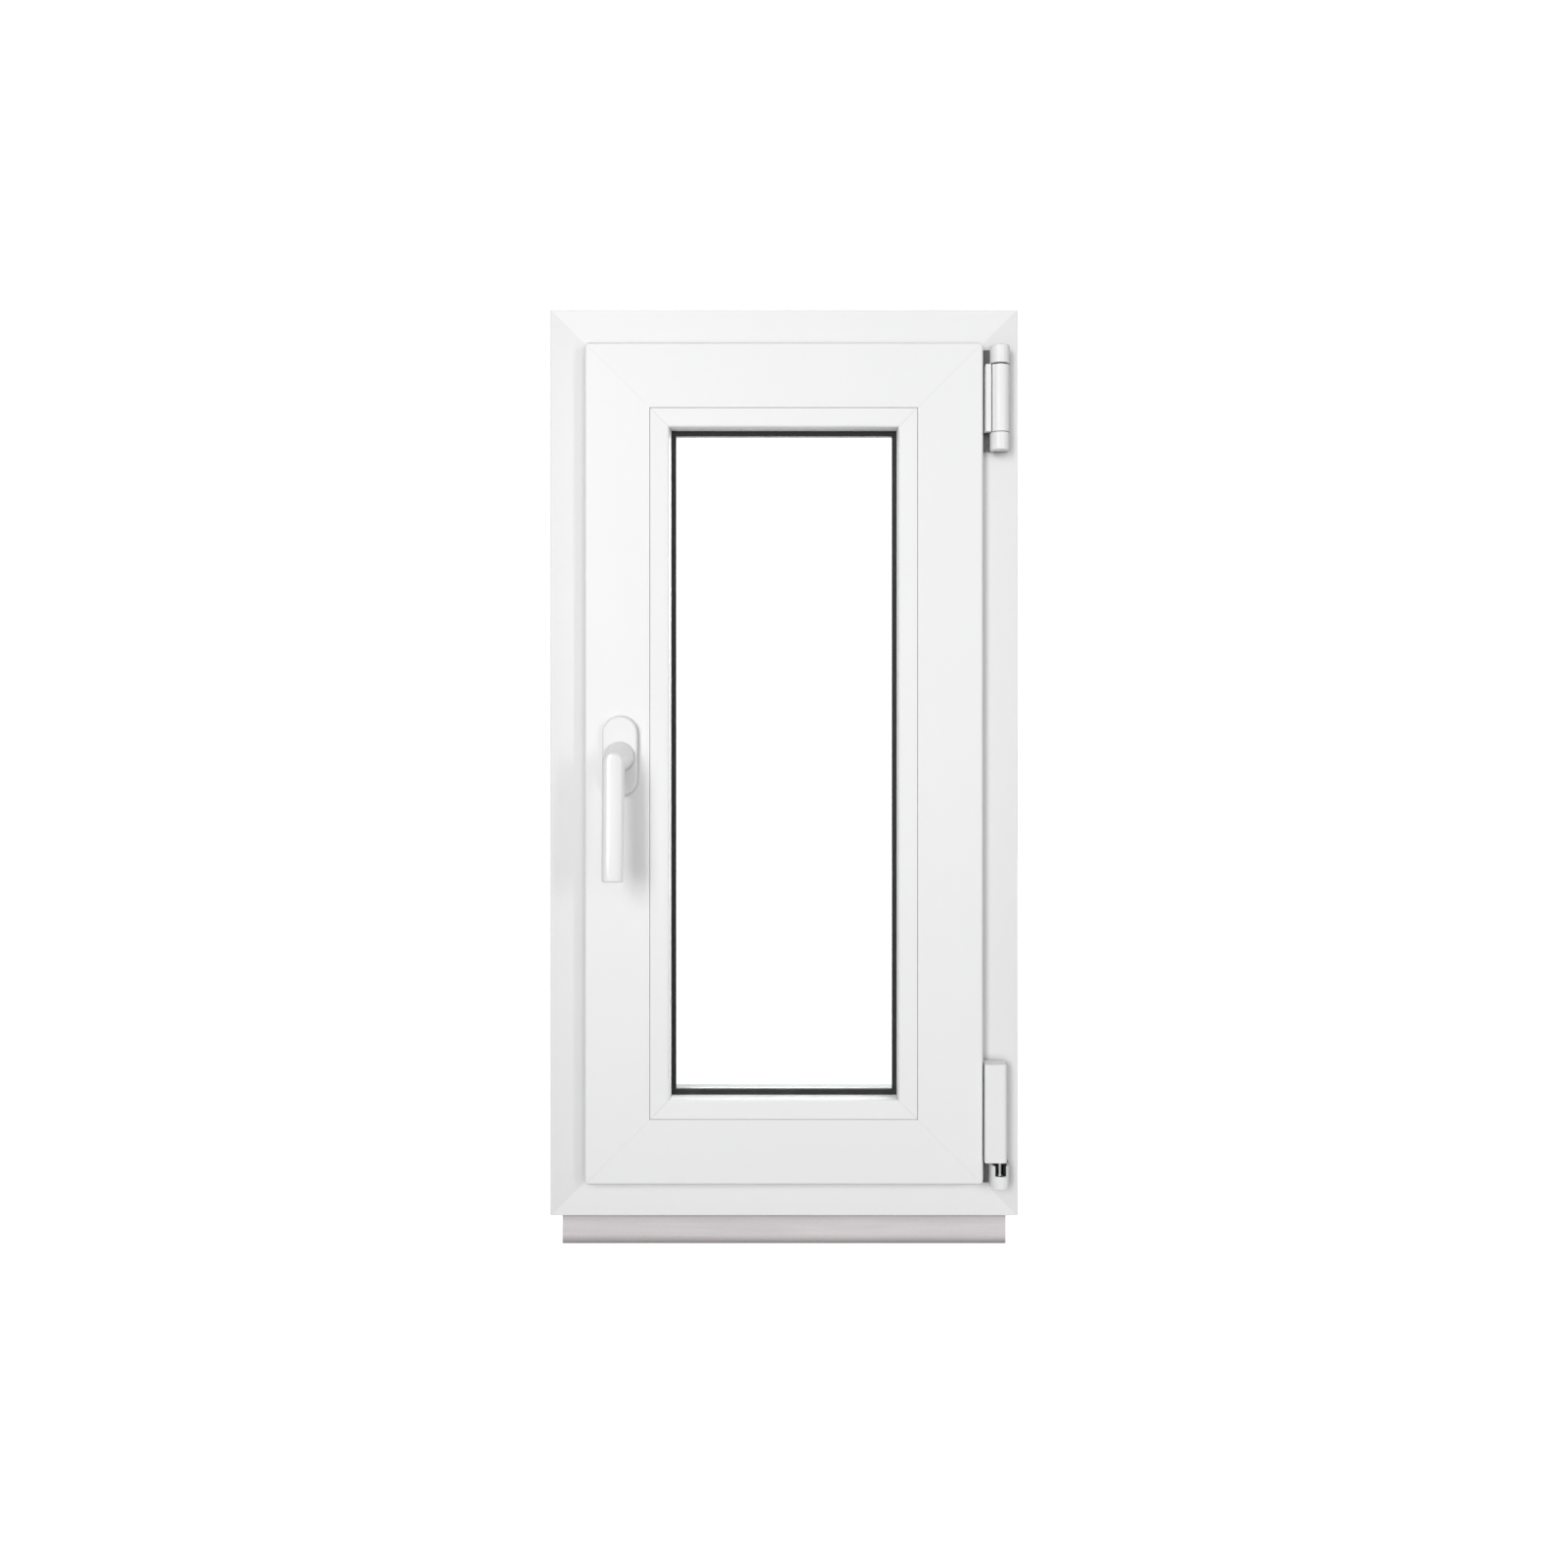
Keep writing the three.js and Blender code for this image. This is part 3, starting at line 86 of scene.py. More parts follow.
def put(material, kind, settings=None, **sockets):
    """Adds a node; sockets are named with _ for a space, and hold a value or another node's output."""
    made = material.node_tree.nodes.new(kind)
    for name, value in (settings or {}).items():
        setattr(made, name, value)
    for name, value in sockets.items():
        socket = made.inputs[name.replace("_", " ")]
        if isinstance(value, bpy.types.NodeSocket):
            material.node_tree.links.new(value, socket)
        else:
            socket.default_value = value
    return made


def drive(material, name, output):
    """Feeds an output into the Principled shader's socket."""
    shader = material.node_tree.nodes["Principled BSDF"]
    material.node_tree.links.new(output, shader.inputs[name])


def noise(material, scale, detail=4.0, stretch=(1, 1, 1)):
    """Noise in the piece's own space, with features 1/scale metres across, drawn out by stretch."""
    place = put(material, "ShaderNodeTexCoord").outputs["Object"]
    mapped = put(material, "ShaderNodeMapping", Vector=place, Scale=stretch).outputs["Vector"]
    made = put(material, "ShaderNodeTexNoise", Vector=mapped, Scale=scale, Detail=detail)
    return made.outputs["Fac"]


def spread(material, value, low, high, start=0.3, end=0.7):
    """Maps a value's range from start to end on to low to high."""
    made = put(
        material,
        "ShaderNodeMapRange",
        Value=value,
        From_Min=start,
        From_Max=end,
        To_Min=low,
        To_Max=high,
    )
    return made.outputs["Result"]


def between(material, share, first, second):
    """A colour between two, by share."""
    made = material.node_tree.nodes.new("ShaderNodeMix")
    made.data_type = "RGBA"
    colours = [s for s in made.inputs if s.type == "RGBA"]
    for socket, colour in zip(colours, (first, second)):
        if isinstance(colour, bpy.types.NodeSocket):
            material.node_tree.links.new(colour, socket)
        else:
            socket.default_value = (*colour, 1)
    material.node_tree.links.new(share, made.inputs[0])
    return next(s for s in made.outputs if s.type == "RGBA")


def relief(material, layers):
    """Bump layers, each (height, depth in millimetres), stacked on to the shader's normal."""
    normal = None
    for height, depth in layers:
        sockets = {"Height": height, "Distance": depth * MM, "Strength": 1.0}
        if normal:
            sockets["Normal"] = normal
        normal = put(material, "ShaderNodeBump", **sockets).outputs["Normal"]
    drive(material, "Normal", normal)


def convex_edges(material, reach):
    """1 on edges that stand proud and 0 on flats: how much is closed within reach, seen from inside."""
    made = put(
        material,
        "ShaderNodeAmbientOcclusion",
        {"samples": 4, "inside": True, "only_local": True},
        Distance=reach,
    )
    return spread(material, made.outputs["AO"], 1, 0, 0.55, 0.95)


def crevice_shade_mask(material, reach, closed=0.2, clear=0.85):
    """1 deep in a crevice and 0 in the open, the mask for painted shade; closed and clear are the open
    shares of sky taken for each.
    """
    made = put(material, "ShaderNodeAmbientOcclusion", {"samples": 6}, Distance=reach)
    return spread(material, made.outputs["AO"], 1, 0, closed, clear)


def extruded_plastic(name, along, shade=1.0, reach=3 * MM, clear=0.85):
    """White window plastic: satin, with faint die lines along the profile and a fine skin, and shade
    painted into its colour near crevices.
    """
    material = new_shader(name, (0.88, 0.882, 0.88), 0.3)
    die = [700, 700, 700]
    die["XYZ".index(along)] = 4
    cloud = noise(material, 5, 2)
    lines = noise(material, 1, 2, die)
    skin = noise(material, 900, 3)
    deeper = [c * shade for c in (0.876, 0.879, 0.878)]
    paler = [c * shade for c in (0.886, 0.888, 0.886)]
    tone = between(material, spread(material, cloud, 0, 1), deeper, paler)
    # painted shade: the colour darkens towards grey where the surface is closed in, standing for the shade
    # that falls there
    painted_shade = between(material, crevice_shade_mask(material, reach, 0.2, clear), tone, (0.5, 0.5, 0.495))
    drive(material, "Base Color", painted_shade)
    drive(material, "Roughness", spread(material, lines, 0.37, 0.47))
    relief(material, [(lines, 0.012), (skin, 0.004)])
    return material


def moulded_plastic(name, smooth, rough):
    """White moulded cover: a shade softer than the profiles, with a fine spark-eroded grain, and shade
    painted into its colour in its creases.
    """
    material = new_shader(name, (0.87, 0.872, 0.868), 0.34)
    cloud = noise(material, 30, 3)
    tone = between(material, spread(material, cloud, 0, 1), (0.866, 0.869, 0.866), (0.876, 0.878, 0.874))
    # painted shade: darker towards grey in creases and hollows, where shade falls
    painted_shade = between(material, crevice_shade_mask(material, 2 * MM), tone, (0.45, 0.45, 0.445))
    drive(material, "Base Color", painted_shade)
    drive(material, "Roughness", spread(material, noise(material, 220, 5), smooth, rough))
    relief(material, [(noise(material, 1600, 4), 0.008)])
    return material


def powder_coat(name):
    """White powder coat on a casting: glossy, with the slow ripple of baked paint, and shade painted into
    its colour in its creases.
    """
    material = new_shader(name, (0.81, 0.81, 0.805), 0.3, coat=0.45)
    ripple = noise(material, 420, 2)
    rubbed = noise(material, 28, 4)
    tone = between(material, spread(material, rubbed, 0, 1), (0.806, 0.807, 0.802), (0.816, 0.817, 0.812))
    # painted shade: darker towards grey in creases and hollows, where shade falls
    painted_shade = between(material, crevice_shade_mask(material, 2 * MM), tone, (0.45, 0.45, 0.445))
    drive(material, "Base Color", painted_shade)
    drive(material, "Roughness", spread(material, rubbed, 0.27, 0.31))
    relief(material, [(ripple, 0.02), (noise(material, 2400, 2), 0.003)])
    return material


def recycled_plastic(name):
    """Pinkish grey profile of recycled plastic: matt, streaked along its length, with darker flecks, and
    shade painted dark where it is closed in, as under the frame.
    """
    material = new_shader(name, (0.52, 0.485, 0.49), 0.5)
    streaks = noise(material, 1, 5, (9, 260, 260))
    cloud = noise(material, 7, 3, (1, 3, 6))
    flecks = noise(material, 1500, 2, (0.35, 1, 1))
    tone = between(material, spread(material, cloud, 0, 1), (0.68, 0.64, 0.65), (0.77, 0.73, 0.738))
    streaked = between(material, spread(material, streaks, 0, 0.45), tone, (0.6, 0.565, 0.57))
    fleck_share = spread(material, flecks, 0, 0.35, 0.62, 0.75)
    flecked = between(material, fleck_share, streaked, (0.33, 0.31, 0.31))
    # painted shadow: darkens towards near black within ten millimetres of overhanging parts
    with_painted_shade = between(material, crevice_shade_mask(material, 10 * MM, 0.5, 0.96), flecked, (0.2, 0.18, 0.18))
    drive(material, "Base Color", with_painted_shade)
    drive(material, "Roughness", spread(material, streaks, 0.42, 0.6))
    relief(material, [(streaks, 0.05), (flecks, 0.012)])
    return material


def rubber(name):
    """Black seal: matt, faintly dusty, with a fine pitted skin."""
    material = new_shader(name, (0.019, 0.019, 0.02), 0.62, specular=0.4)
    dust = noise(material, 60, 5)
    dustiness = spread(material, dust, 0, 1, 0.45, 0.75)
    tone = between(material, dustiness, (0.014, 0.014, 0.015), (0.034, 0.034, 0.035))
    drive(material, "Base Color", tone)
    drive(material, "Roughness", spread(material, dust, 0.5, 0.72))
    relief(material, [(noise(material, 1400, 3), 0.02)])
    return material


def glass(name):
    """Clear float glass with the slightest green, and a trace of haze."""
    material = new_shader(name, (0.985, 0.995, 0.99), 0.0)
    inputs = material.node_tree.nodes["Principled BSDF"].inputs
    inputs["Transmission Weight"].default_value = 1.0
    inputs["IOR"].default_value = 1.5
    haze = noise(material, 12, 4)
    drive(material, "Roughness", spread(material, haze, 0.0, 0.012, 0.5, 0.8))
    return material


def warm_edge(name):
    """Black spacer between the panes, with two rows of fine breathing holes."""
    material = new_shader(name, (0.03, 0.03, 0.032), 0.45)
    place = put(material, "ShaderNodeTexCoord").outputs["Object"]
    cells = put(material, "ShaderNodeTexVoronoi", Vector=place, Scale=320.0, Randomness=0.15)
    holes = spread(material, cells.outputs["Distance"], 1, 0, 0.12, 0.2)
    drive(material, "Base Color", between(material, holes, (0.035, 0.035, 0.037), (0.004, 0.004, 0.004)))
    drive(material, "Roughness", spread(material, noise(material, 90, 3), 0.35, 0.5))
    relief(material, [(cells.outputs["Distance"], 0.05)])
    return material


def sealant(name):
    """Black edge sealant, trowelled and slightly lumpy."""
    material = new_shader(name, (0.022, 0.022, 0.023), 0.55)
    lumps = noise(material, 160, 4)
    drive(material, "Base Color", between(material, lumps, (0.015, 0.015, 0.016), (0.035, 0.035, 0.036)))
    drive(material, "Roughness", spread(material, lumps, 0.4, 0.7))
    relief(material, [(lumps, 0.3)])
    return material


def block_plastic(name):
    """Blue setting block, moulded and lightly scuffed."""
    material = new_shader(name, (0.05, 0.16, 0.38), 0.42)
    scuff = noise(material, 130, 6, (1, 4, 1))
    tone = between(material, spread(material, scuff, 0, 1), (0.04, 0.14, 0.36), (0.08, 0.2, 0.42))
    drive(material, "Base Color", tone)
    drive(material, "Roughness", spread(material, scuff, 0.34, 0.6))
    relief(material, [(scuff, 0.02)])
    return material


def plated_steel(name, along, shade):
    """Zinc-plated steel strip: slightly blue, drawn along its length, rubbed bright on its edges."""
    material = new_shader(name, (0.6, 0.61, 0.63), 0.3, metallic=1.0)
    drawn = [1100, 1100, 1100]
    drawn["XYZ".index(along)] = 25
    lines = noise(material, 1, 3, drawn)
    bloom = noise(material, 45, 4)
    bluish = [c * shade for c in (0.56, 0.585, 0.62)]
    greyish = [c * shade for c in (0.66, 0.655, 0.64)]
    tone = between(material, spread(material, bloom, 0, 1), bluish, greyish)
    worn = between(material, convex_edges(material, 0.5 * MM), tone, (0.8, 0.8, 0.8))
    drive(material, "Base Color", worn)
    drive(material, "Roughness", spread(material, lines, 0.24, 0.46))
    relief(material, [(lines, 0.006), (bloom, 0.01)])
    return material


def dark_steel(name):
    """Steel with a dull dark passivation, rubbed a little brighter on its edges."""
    material = new_shader(name, (0.2, 0.2, 0.21), 0.5, metallic=1.0)
    bloom = noise(material, 90, 4)
    grain = noise(material, 1200, 3)
    tone = between(material, spread(material, bloom, 0, 1), (0.13, 0.132, 0.14), (0.22, 0.22, 0.225))
    worn = between(material, convex_edges(material, 0.4 * MM), tone, (0.4, 0.4, 0.41))
    drive(material, "Base Color", worn)
    drive(material, "Roughness", spread(material, bloom, 0.45, 0.6))
    relief(material, [(bloom, 0.01), (grain, 0.004)])
    return material


def die_cast(name):
    """Bare zinc die casting: grey, satin and finely pitted."""
    material = new_shader(name, (0.42, 0.43, 0.44), 0.45, metallic=1.0)
    pits = noise(material, 700, 5)
    cloud = noise(material, 60, 3)
    tone = between(material, spread(material, cloud, 0, 1), (0.36, 0.37, 0.385), (0.5, 0.505, 0.51))
    worn = between(material, convex_edges(material, 0.6 * MM), tone, (0.68, 0.68, 0.69))
    drive(material, "Base Color", worn)
    drive(material, "Roughness", spread(material, pits, 0.34, 0.6))
    relief(material, [(pits, 0.03)])
    return material


# How far out from the sash the frame's faces are shaded, and the open share of sky at which it ends.
FRAME_SHADING = {"reach": 9 * MM, "clear": 0.94}
LOOKS = {
    "white_across": extruded_plastic("white_profile_across", "X"),
    "white_upright": extruded_plastic("white_profile_upright", "Z"),
    "white_head": extruded_plastic("white_head_profile", "X", **FRAME_SHADING),
    # painted shade: the jambs are the head's white plastic, painted a little darker to stand for the shade
    # beside the sash
    "white_jamb_painted_darker": extruded_plastic("jamb_profile_painted_darker", "Z", shade=0.93, **FRAME_SHADING),
    "weld": extruded_plastic("white_weld", "Y", shade=0.95),
    "cover": moulded_plastic("white_moulding", smooth=0.3, rough=0.42),
    "rosette": moulded_plastic("white_matt_moulding", smooth=0.44, rough=0.54),
    "powder": powder_coat("white_powder_coat"),
    "grey": recycled_plastic("grey_recycled_profile"),
    "rubber": rubber("black_seal"),
    "glass": glass("clear_float_glass"),
    "spacer": warm_edge("black_spacer"),
    "sealant": sealant("black_sealant"),
    "block": block_plastic("blue_block"),
    "pin_steel": plated_steel("bright_pin_steel", "Z", shade=1.3),
    "steel_upright": plated_steel("plated_steel_upright", "Z", shade=0.85),
    "steel_across": plated_steel("plated_steel_across", "X", shade=0.85),
    "dark_steel": dark_steel("dark_steel"),
    "zinc": die_cast("zinc_die_casting"),
}

# ---------------------------------------------------------------- building pieces


def solid_of(node):
    """A bmesh of a CAD node, its split vertices joined and its flat faces made whole."""
    source = frame["nodes"][node].data
    bm = bmesh.new()
    verts = [bm.verts.new(v.co) for v in source.vertices]
    for polygon in source.polygons:
        bm.faces.new([verts[i] for i in polygon.vertices])
    bmesh.ops.remove_doubles(bm, verts=bm.verts[:], dist=0.002 * MM)
    bmesh.ops.dissolve_limit(
        bm, angle_limit=math.radians(0.3), verts=bm.verts[:], edges=bm.edges[:]
    )
    bm.normal_update()
    return bm


def is_mitre(face):
    """True for the flat 45 degree end of a mitred member."""
    n = face.normal
    return abs(n.y) < 0.01 and abs(abs(n.x) - abs(n.z)) < 0.01


def round_edges(bm, width, segments=3, least=35.0, spare=None):
    """Rounds the edges sharper than least, apart from those round the faces that spare picks."""
    chosen = []
    for edge in bm.edges:
        if len(edge.link_faces) != 2 or edge.calc_face_angle() < math.radians(least):
            continue
        if spare and any(spare(face) for face in edge.link_faces):
            continue
        chosen.append(edge)
    bmesh.ops.bevel(
        bm,
        geom=chosen,
        offset=width,
        segments=segments,
        profile=0.5,
        affect="EDGES",
        clamp_overlap=True,
    )


def finish_piece(name, bm, look, body, nodes=(), sharp=38.0):
    """Turns a bmesh into a piece, smooth apart from its sharp edges, on its body and with its material."""
    bm.normal_update()
    for face in bm.faces:
        face.smooth = True
    for edge in bm.edges:
        edge.smooth = len(edge.link_faces) == 2 and edge.calc_face_angle() < math.radians(sharp)
    mesh = bpy.data.meshes.new(name)
    bm.to_mesh(mesh)
    bm.free()
    mesh.materials.append(LOOKS[look])
    piece = bpy.data.objects.new(name, mesh)
    bpy.context.scene.collection.objects.link(piece)
    weigh = piece.modifiers.new("weigh_normals", "WEIGHTED_NORMAL")
    weigh.keep_sharp = True
    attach(piece, body)
    if nodes:
        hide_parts(*nodes)
    return piece


def body_of(node):
    """The body that carries a CAD node."""
    return frame["nodes"][node]["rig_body"]


def restyle(node, look, width, suffix, segments=3, least=35.0, spare=None, sharp=38.0):
    """A finely rounded piece in place of one CAD node."""
    bm = solid_of(node)
    round_edges(bm, width * MM, segments, least, spare)
    return finish_piece(f"{node}_{suffix}", bm, look, body_of(node), [node], sharp)


# ---------------------------------------------------------------- profiles and glazing

ACROSS = ("sash_top_rail", "sash_bottom_rail", "glazing_bead_top", "glazing_bead_bottom")
UPRIGHT = ("sash_lock_stile", "sash_hinge_stile", "glazing_bead_lock_side", "glazing_bead_hinge_side")
HEAD_AND_SILL = ("frame_head", "frame_sill")
JAMBS = ("frame_lock_jamb", "frame_hinge_jamb")
for members, look in (
    (ACROSS, "white_across"),
    (UPRIGHT, "white_upright"),
    (HEAD_AND_SILL, "white_head"),
    (JAMBS, "white_jamb_painted_darker"),
):
    for node in members:
        restyle(node, look, 0.3, "profile", spare=is_mitre)

for node in ("drain_cap_left", "drain_cap_right"):
    restyle(node, "cover", 0.5, "hood")
restyle("sill_connection_profile", "grey", 0.35, "length")

for node in ("frame_stop_gasket", "sash_overlap_gasket", "glazing_gasket_room", "glazing_gasket_outdoor"):
    restyle(node, "rubber", 0.35, "lip")

for node in ("inner_glass_pane", "outer_glass_pane"):
    pane = restyle(node, "glass", 0.4, "ground", segments=1)
    pane.visible_shadow = False
restyle("glass_spacer_bar", "spacer", 0.5, "section")
restyle("glass_edge_seal", "sealant", 0.4, "bead")
for node in ("setting_block_left", "setting_block_right"):
    restyle(node, "block", 0.6, "moulding")


def settle_order(bm):
    """Lists the faces by their corners, because bmesh operators may list them differently each run."""
    bm.verts.index_update()
    count = len(bm.verts)

    def rank(face):
        first, second, third = sorted(v.index for v in face.verts)[:3]
        return (first * count + second) * count + third

    bm.faces.sort(key=rank)


def weld_seams(name, members, body, sunk):
    """The welds that join mitred members: their end faces, drawn in a hair and filled across the gap."""
    gap = 0.3  # between two members at their mitre, in millimetres
    bm = bmesh.new()
    for node in members:
        source = solid_of(node)
        for side in (-1, 1):
            slanted = [f for f in source.faces if is_mitre(f) and f.normal.x * side > 0]
            across = max(slanted, key=lambda f: f.calc_area()).normal.copy()
            ends = [f for f in slanted if f.normal.dot(across) > 0.99]
            copies = {}
            for face in ends:
                for v in face.verts:
                    if v not in copies:
                        copies[v] = bm.verts.new(v.co)
                bm.faces.new([copies[v] for v in face.verts])
            bm.normal_update()
            flat = list(dict.fromkeys(f for v in copies.values() for f in v.link_faces))
            rim = bmesh.ops.inset_region(
                bm, faces=flat, thickness=sunk, use_boundary=True, use_even_offset=True
            )
            bmesh.ops.delete(bm, geom=rim["faces"], context="FACES")
            inner = [f for f in flat if f.is_valid]
            grown = bmesh.ops.extrude_face_region(bm, geom=inner)
            moved = [g for g in grown["geom"] if isinstance(g, bmesh.types.BMVert)]
            bmesh.ops.translate(bm, verts=moved, vec=across * gap * MM)
        source.free()
    bmesh.ops.delete(bm, geom=[v for v in bm.verts if not v.link_faces], context="VERTS")
    bmesh.ops.recalc_face_normals(bm, faces=bm.faces[:])
    settle_order(bm)
    return finish_piece(name, bm, "weld", body)


weld_seams("frame_weld_seams", ("frame_head", "frame_sill"), "frame", 0.1 * MM)
weld_seams("sash_weld_seams", ("sash_top_rail", "sash_bottom_rail"), "sash", 0.1 * MM)
weld_seams("bead_mitre_fill", ("glazing_bead_top", "glazing_bead_bottom"), "sash", 0.25 * MM)

# ---------------------------------------------------------------- handle

RING = 72  # points round each section of the lever


def oval(a, b, power):
    """Points round a squarish oval with half axes a and b."""
    points = []
    for i in range(RING):
        c = math.cos(math.tau * i / RING)
        d = math.sin(math.tau * i / RING)
        points.append((
            a * math.copysign(abs(c) ** (2 / power), c),
            b * math.copysign(abs(d) ** (2 / power), d),
        ))
    return points


def skin(bm, rows):
    """Skins a closed tube over rows of points."""
    rings = [[bm.verts.new(point) for point in row] for row in rows]
    for first, second in zip(rings, rings[1:]):
        for i in range(RING):
            j = (i + 1) % RING
            bm.faces.new((first[i], first[j], second[j], second[i]))
    bm.faces.new(rings[0][::-1])
    bm.faces.new(rings[-1])


def quarter_round(radius, distance):
    """How far a quarter-round has fallen back at a distance from its end."""
    return 0 if distance >= radius else radius - math.sqrt(radius**2 - (radius - distance) ** 2)


def smoothstep(t, start, end):
    """0 up to start and 1 past end, with a smooth rise between them."""
    t = min(max((t - start) / (end - start), 0), 1)
    return t * t * (3 - 2 * t)


def blend(a, b, t):
    """The value a share t of the way from a to b."""
    return a + (b - a) * t


def lever():
    """The cast lever: a round collar, a neck that comes forwards from it, and a flattened grip that
    hangs from its own round top. They are skinned apart, fused, and their creases melted."""
    low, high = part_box("handle_lever")
    spindle_low, spindle_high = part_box("handle_spindle")
    axis_x = (spindle_low.x + spindle_high.x) / 2
    axis_z = (spindle_low.z + spindle_high.z) / 2
    seat_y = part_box("rosette_cover")[0].y
    collar = (high.x - low.x) / 2
    grip_half = 10.7 * MM
    grip_top = axis_z + 6.2 * MM
    grip_depth = 13 * MM
    lean = 5 * MM
    front_round = 3.5 * MM
    back_round = 4 * MM
    grip_front = low.y + lean * smoothstep(1, 0.05, 1.2)
    length = grip_top - low.z
    end_round = 1.6 * MM
    neck_foot = -16.5 * MM
    neck_flare = 9 * MM
    bm = bmesh.new()

    rows = []
    steps = 90
    for i in range(steps + 1):
        d = max(length * (1 - math.cos(math.pi * i / steps)) / 2, 0.03 * MM)
        from_end = quarter_round(end_round, length - d)
        half = grip_half - quarter_round(grip_half, d) - from_end
        out = lean * smoothstep(d / length, 0.05, 1.2)
        front = grip_front - out + quarter_round(front_round, d) + from_end
        back = grip_front + grip_depth - out - quarter_round(back_round, d) - from_end
        rows.append([
            (axis_x + p, (front + back) / 2 + q, grip_top - d)
            for p, q in oval(half, (back - front) / 2, 3.2)
        ])
    skin(bm, rows)

    rows = []
    steps = 36
    for i in range(steps + 1):
        t = i / steps
        ease = smoothstep(t, -0.15, 1)
        flare = smoothstep(t, 0.6, 1) ** 1.5
        half = blend(collar, grip_half - 0.4 * MM, ease)
        top = blend(collar, grip_top - axis_z - 0.3 * MM, ease)
        foot = blend(-collar, neck_foot, ease) - neck_flare * flare
        y = blend(seat_y - 0.3 * MM, grip_front + grip_depth - 3.5 * MM, t)
        rows.append([
            (axis_x + p, y, axis_z + (top + foot) / 2 + q) for p, q in oval(half, (top - foot) / 2, 2.1)
        ])
    skin(bm, rows)

    disc = (12 * MM, seat_y + 1.5 * MM)
    hub = (8.6 * MM, high.y)
    for radius, reach in (disc, hub):
        rows = [
            [(axis_x + p, y, axis_z + q) for p, q in oval(radius, radius, 2)]
            for y in (seat_y - 1 * MM, reach)
        ]
        skin(bm, rows)
    bmesh.ops.recalc_face_normals(bm, faces=bm.faces[:])
    piece = finish_piece(
        "handle_lever_casting", bm, "powder", "handle", ["handle_lever"]
    )
    piece.modifiers.clear()
    fused = piece.modifiers.new("fuse", "REMESH")
    fused.mode = "VOXEL"
    fused.voxel_size = 0.6 * MM
    fused.use_smooth_shade = True
    melt = piece.modifiers.new("melt", "SMOOTH")
    melt.factor = 0.5
    melt.iterations = 10


lever()
restyle("rosette_cover", "rosette", 0.25, "shell", sharp=50)
restyle("rosette_base", "zinc", 0.3, "casting")
restyle("gearbox_case", "zinc", 0.6, "casting")
restyle("handle_spindle", "steel_across", 0.5, "bar")
restyle("handle_pinion", "steel_across", 0.15, "gear")
for node in ("rosette_screw_upper", "rosette_screw_lower"):
    restyle(node, "steel_across", 0.4, "screw")

# ---------------------------------------------------------------- hinges

HINGE_COVERS = (
    "upper_hinge_cap_lower",
    "upper_hinge_cap_upper",
    "stay_arm_cover",
    "corner_bearing_cover",
    "corner_band_cover",
)
for node in HINGE_COVERS:
    restyle(node, "cover", 0.35, "shell", sharp=50)
for node in ("upper_hinge_pin", "lower_pivot_pin"):
    restyle(node, "pin_steel", 0.3, "part")
restyle("corner_band", "steel_upright", 0.3, "part")
for node in ("upper_hinge_bearing", "corner_bearing"):
    restyle(node, "dark_steel", 0.3, "part")


def notch_shade_bush():
    """A black bush that lines the corner bearing behind the pin, open where the cover's notch is: a dark
    piece put there as painted shade for the inside of the notch.
    """
    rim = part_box("corner_bearing_cover")[1].z
    pin_low, pin_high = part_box("lower_pivot_pin")
    axis_x = (pin_low.x + pin_high.x) / 2
    axis_y = (pin_low.y + pin_high.y) / 2
    top = rim - 0.6 * MM
    foot = rim - 10.4 * MM
    outer, inner = 7.3 * MM, 4.6 * MM
    steps = 40
    open_half = math.radians(48)  # half the opening, which faces the room
    bm = bmesh.new()
    rings = []
    for radius, z in ((outer, foot), (outer, top), (inner, top), (inner, foot)):
        ring = []
        for i in range(steps + 1):
            turn = open_half + (math.tau - 2 * open_half) * i / steps - math.pi / 2
            x = axis_x + radius * math.cos(turn)
            y = axis_y + radius * math.sin(turn)
            ring.append(bm.verts.new((x, y, z)))
        rings.append(ring)
    for first, second in zip(rings, rings[1:] + rings[:1]):
        for i in range(steps):
            bm.faces.new((first[i], first[i + 1], second[i + 1], second[i]))
    bm.faces.new([ring[0] for ring in rings])
    bm.faces.new([ring[-1] for ring in rings][::-1])
    bmesh.ops.recalc_face_normals(bm, faces=bm.faces[:])
    round_edges(bm, 0.25 * MM)
    finish_piece("notch_shade_bush", bm, "rubber", body_of("corner_bearing"))


notch_shade_bush()

# ---------------------------------------------------------------- hardware in the groove

UPRIGHT_STRIPS = (
    "lock_faceplate",
    "lock_rod",
    "lower_keep",
    "upper_keep",
    "corner_drive_top",
    "corner_drive_bottom",
)
STRIPS_ACROSS = (
    "top_faceplate",
    "top_rod",
    "bottom_rod",
    "head_keep",
    "tilt_keep",
    "stay_arm",
    "stay_slider",
)
for node in UPRIGHT_STRIPS:
    restyle(node, "steel_upright", 0.3, "strip")
for node in STRIPS_ACROSS:
    restyle(node, "steel_across", 0.3, "strip")
for node in ("frame_steel_lock", "frame_steel_hinge", "sash_steel_lock", "sash_steel_hinge"):
    restyle(node, "steel_upright", 0.4, "bar")

# ---------------------------------------------------------------- floor, light and camera

WINDOW_MIDDLE = (0, 0, 0.5)


def seen_directly(tree):
    """1 for rays that reach the eye straight or through glass, 0 for rays that light or mirror."""
    path = tree.nodes.new("ShaderNodeLightPath")
    either = tree.nodes.new("ShaderNodeMath")
    either.operation = "MAXIMUM"
    tree.links.new(path.outputs["Is Camera Ray"], either.inputs[0])
    tree.links.new(path.outputs["Is Transmission Ray"], either.inputs[1])
    return either.outputs["Value"]


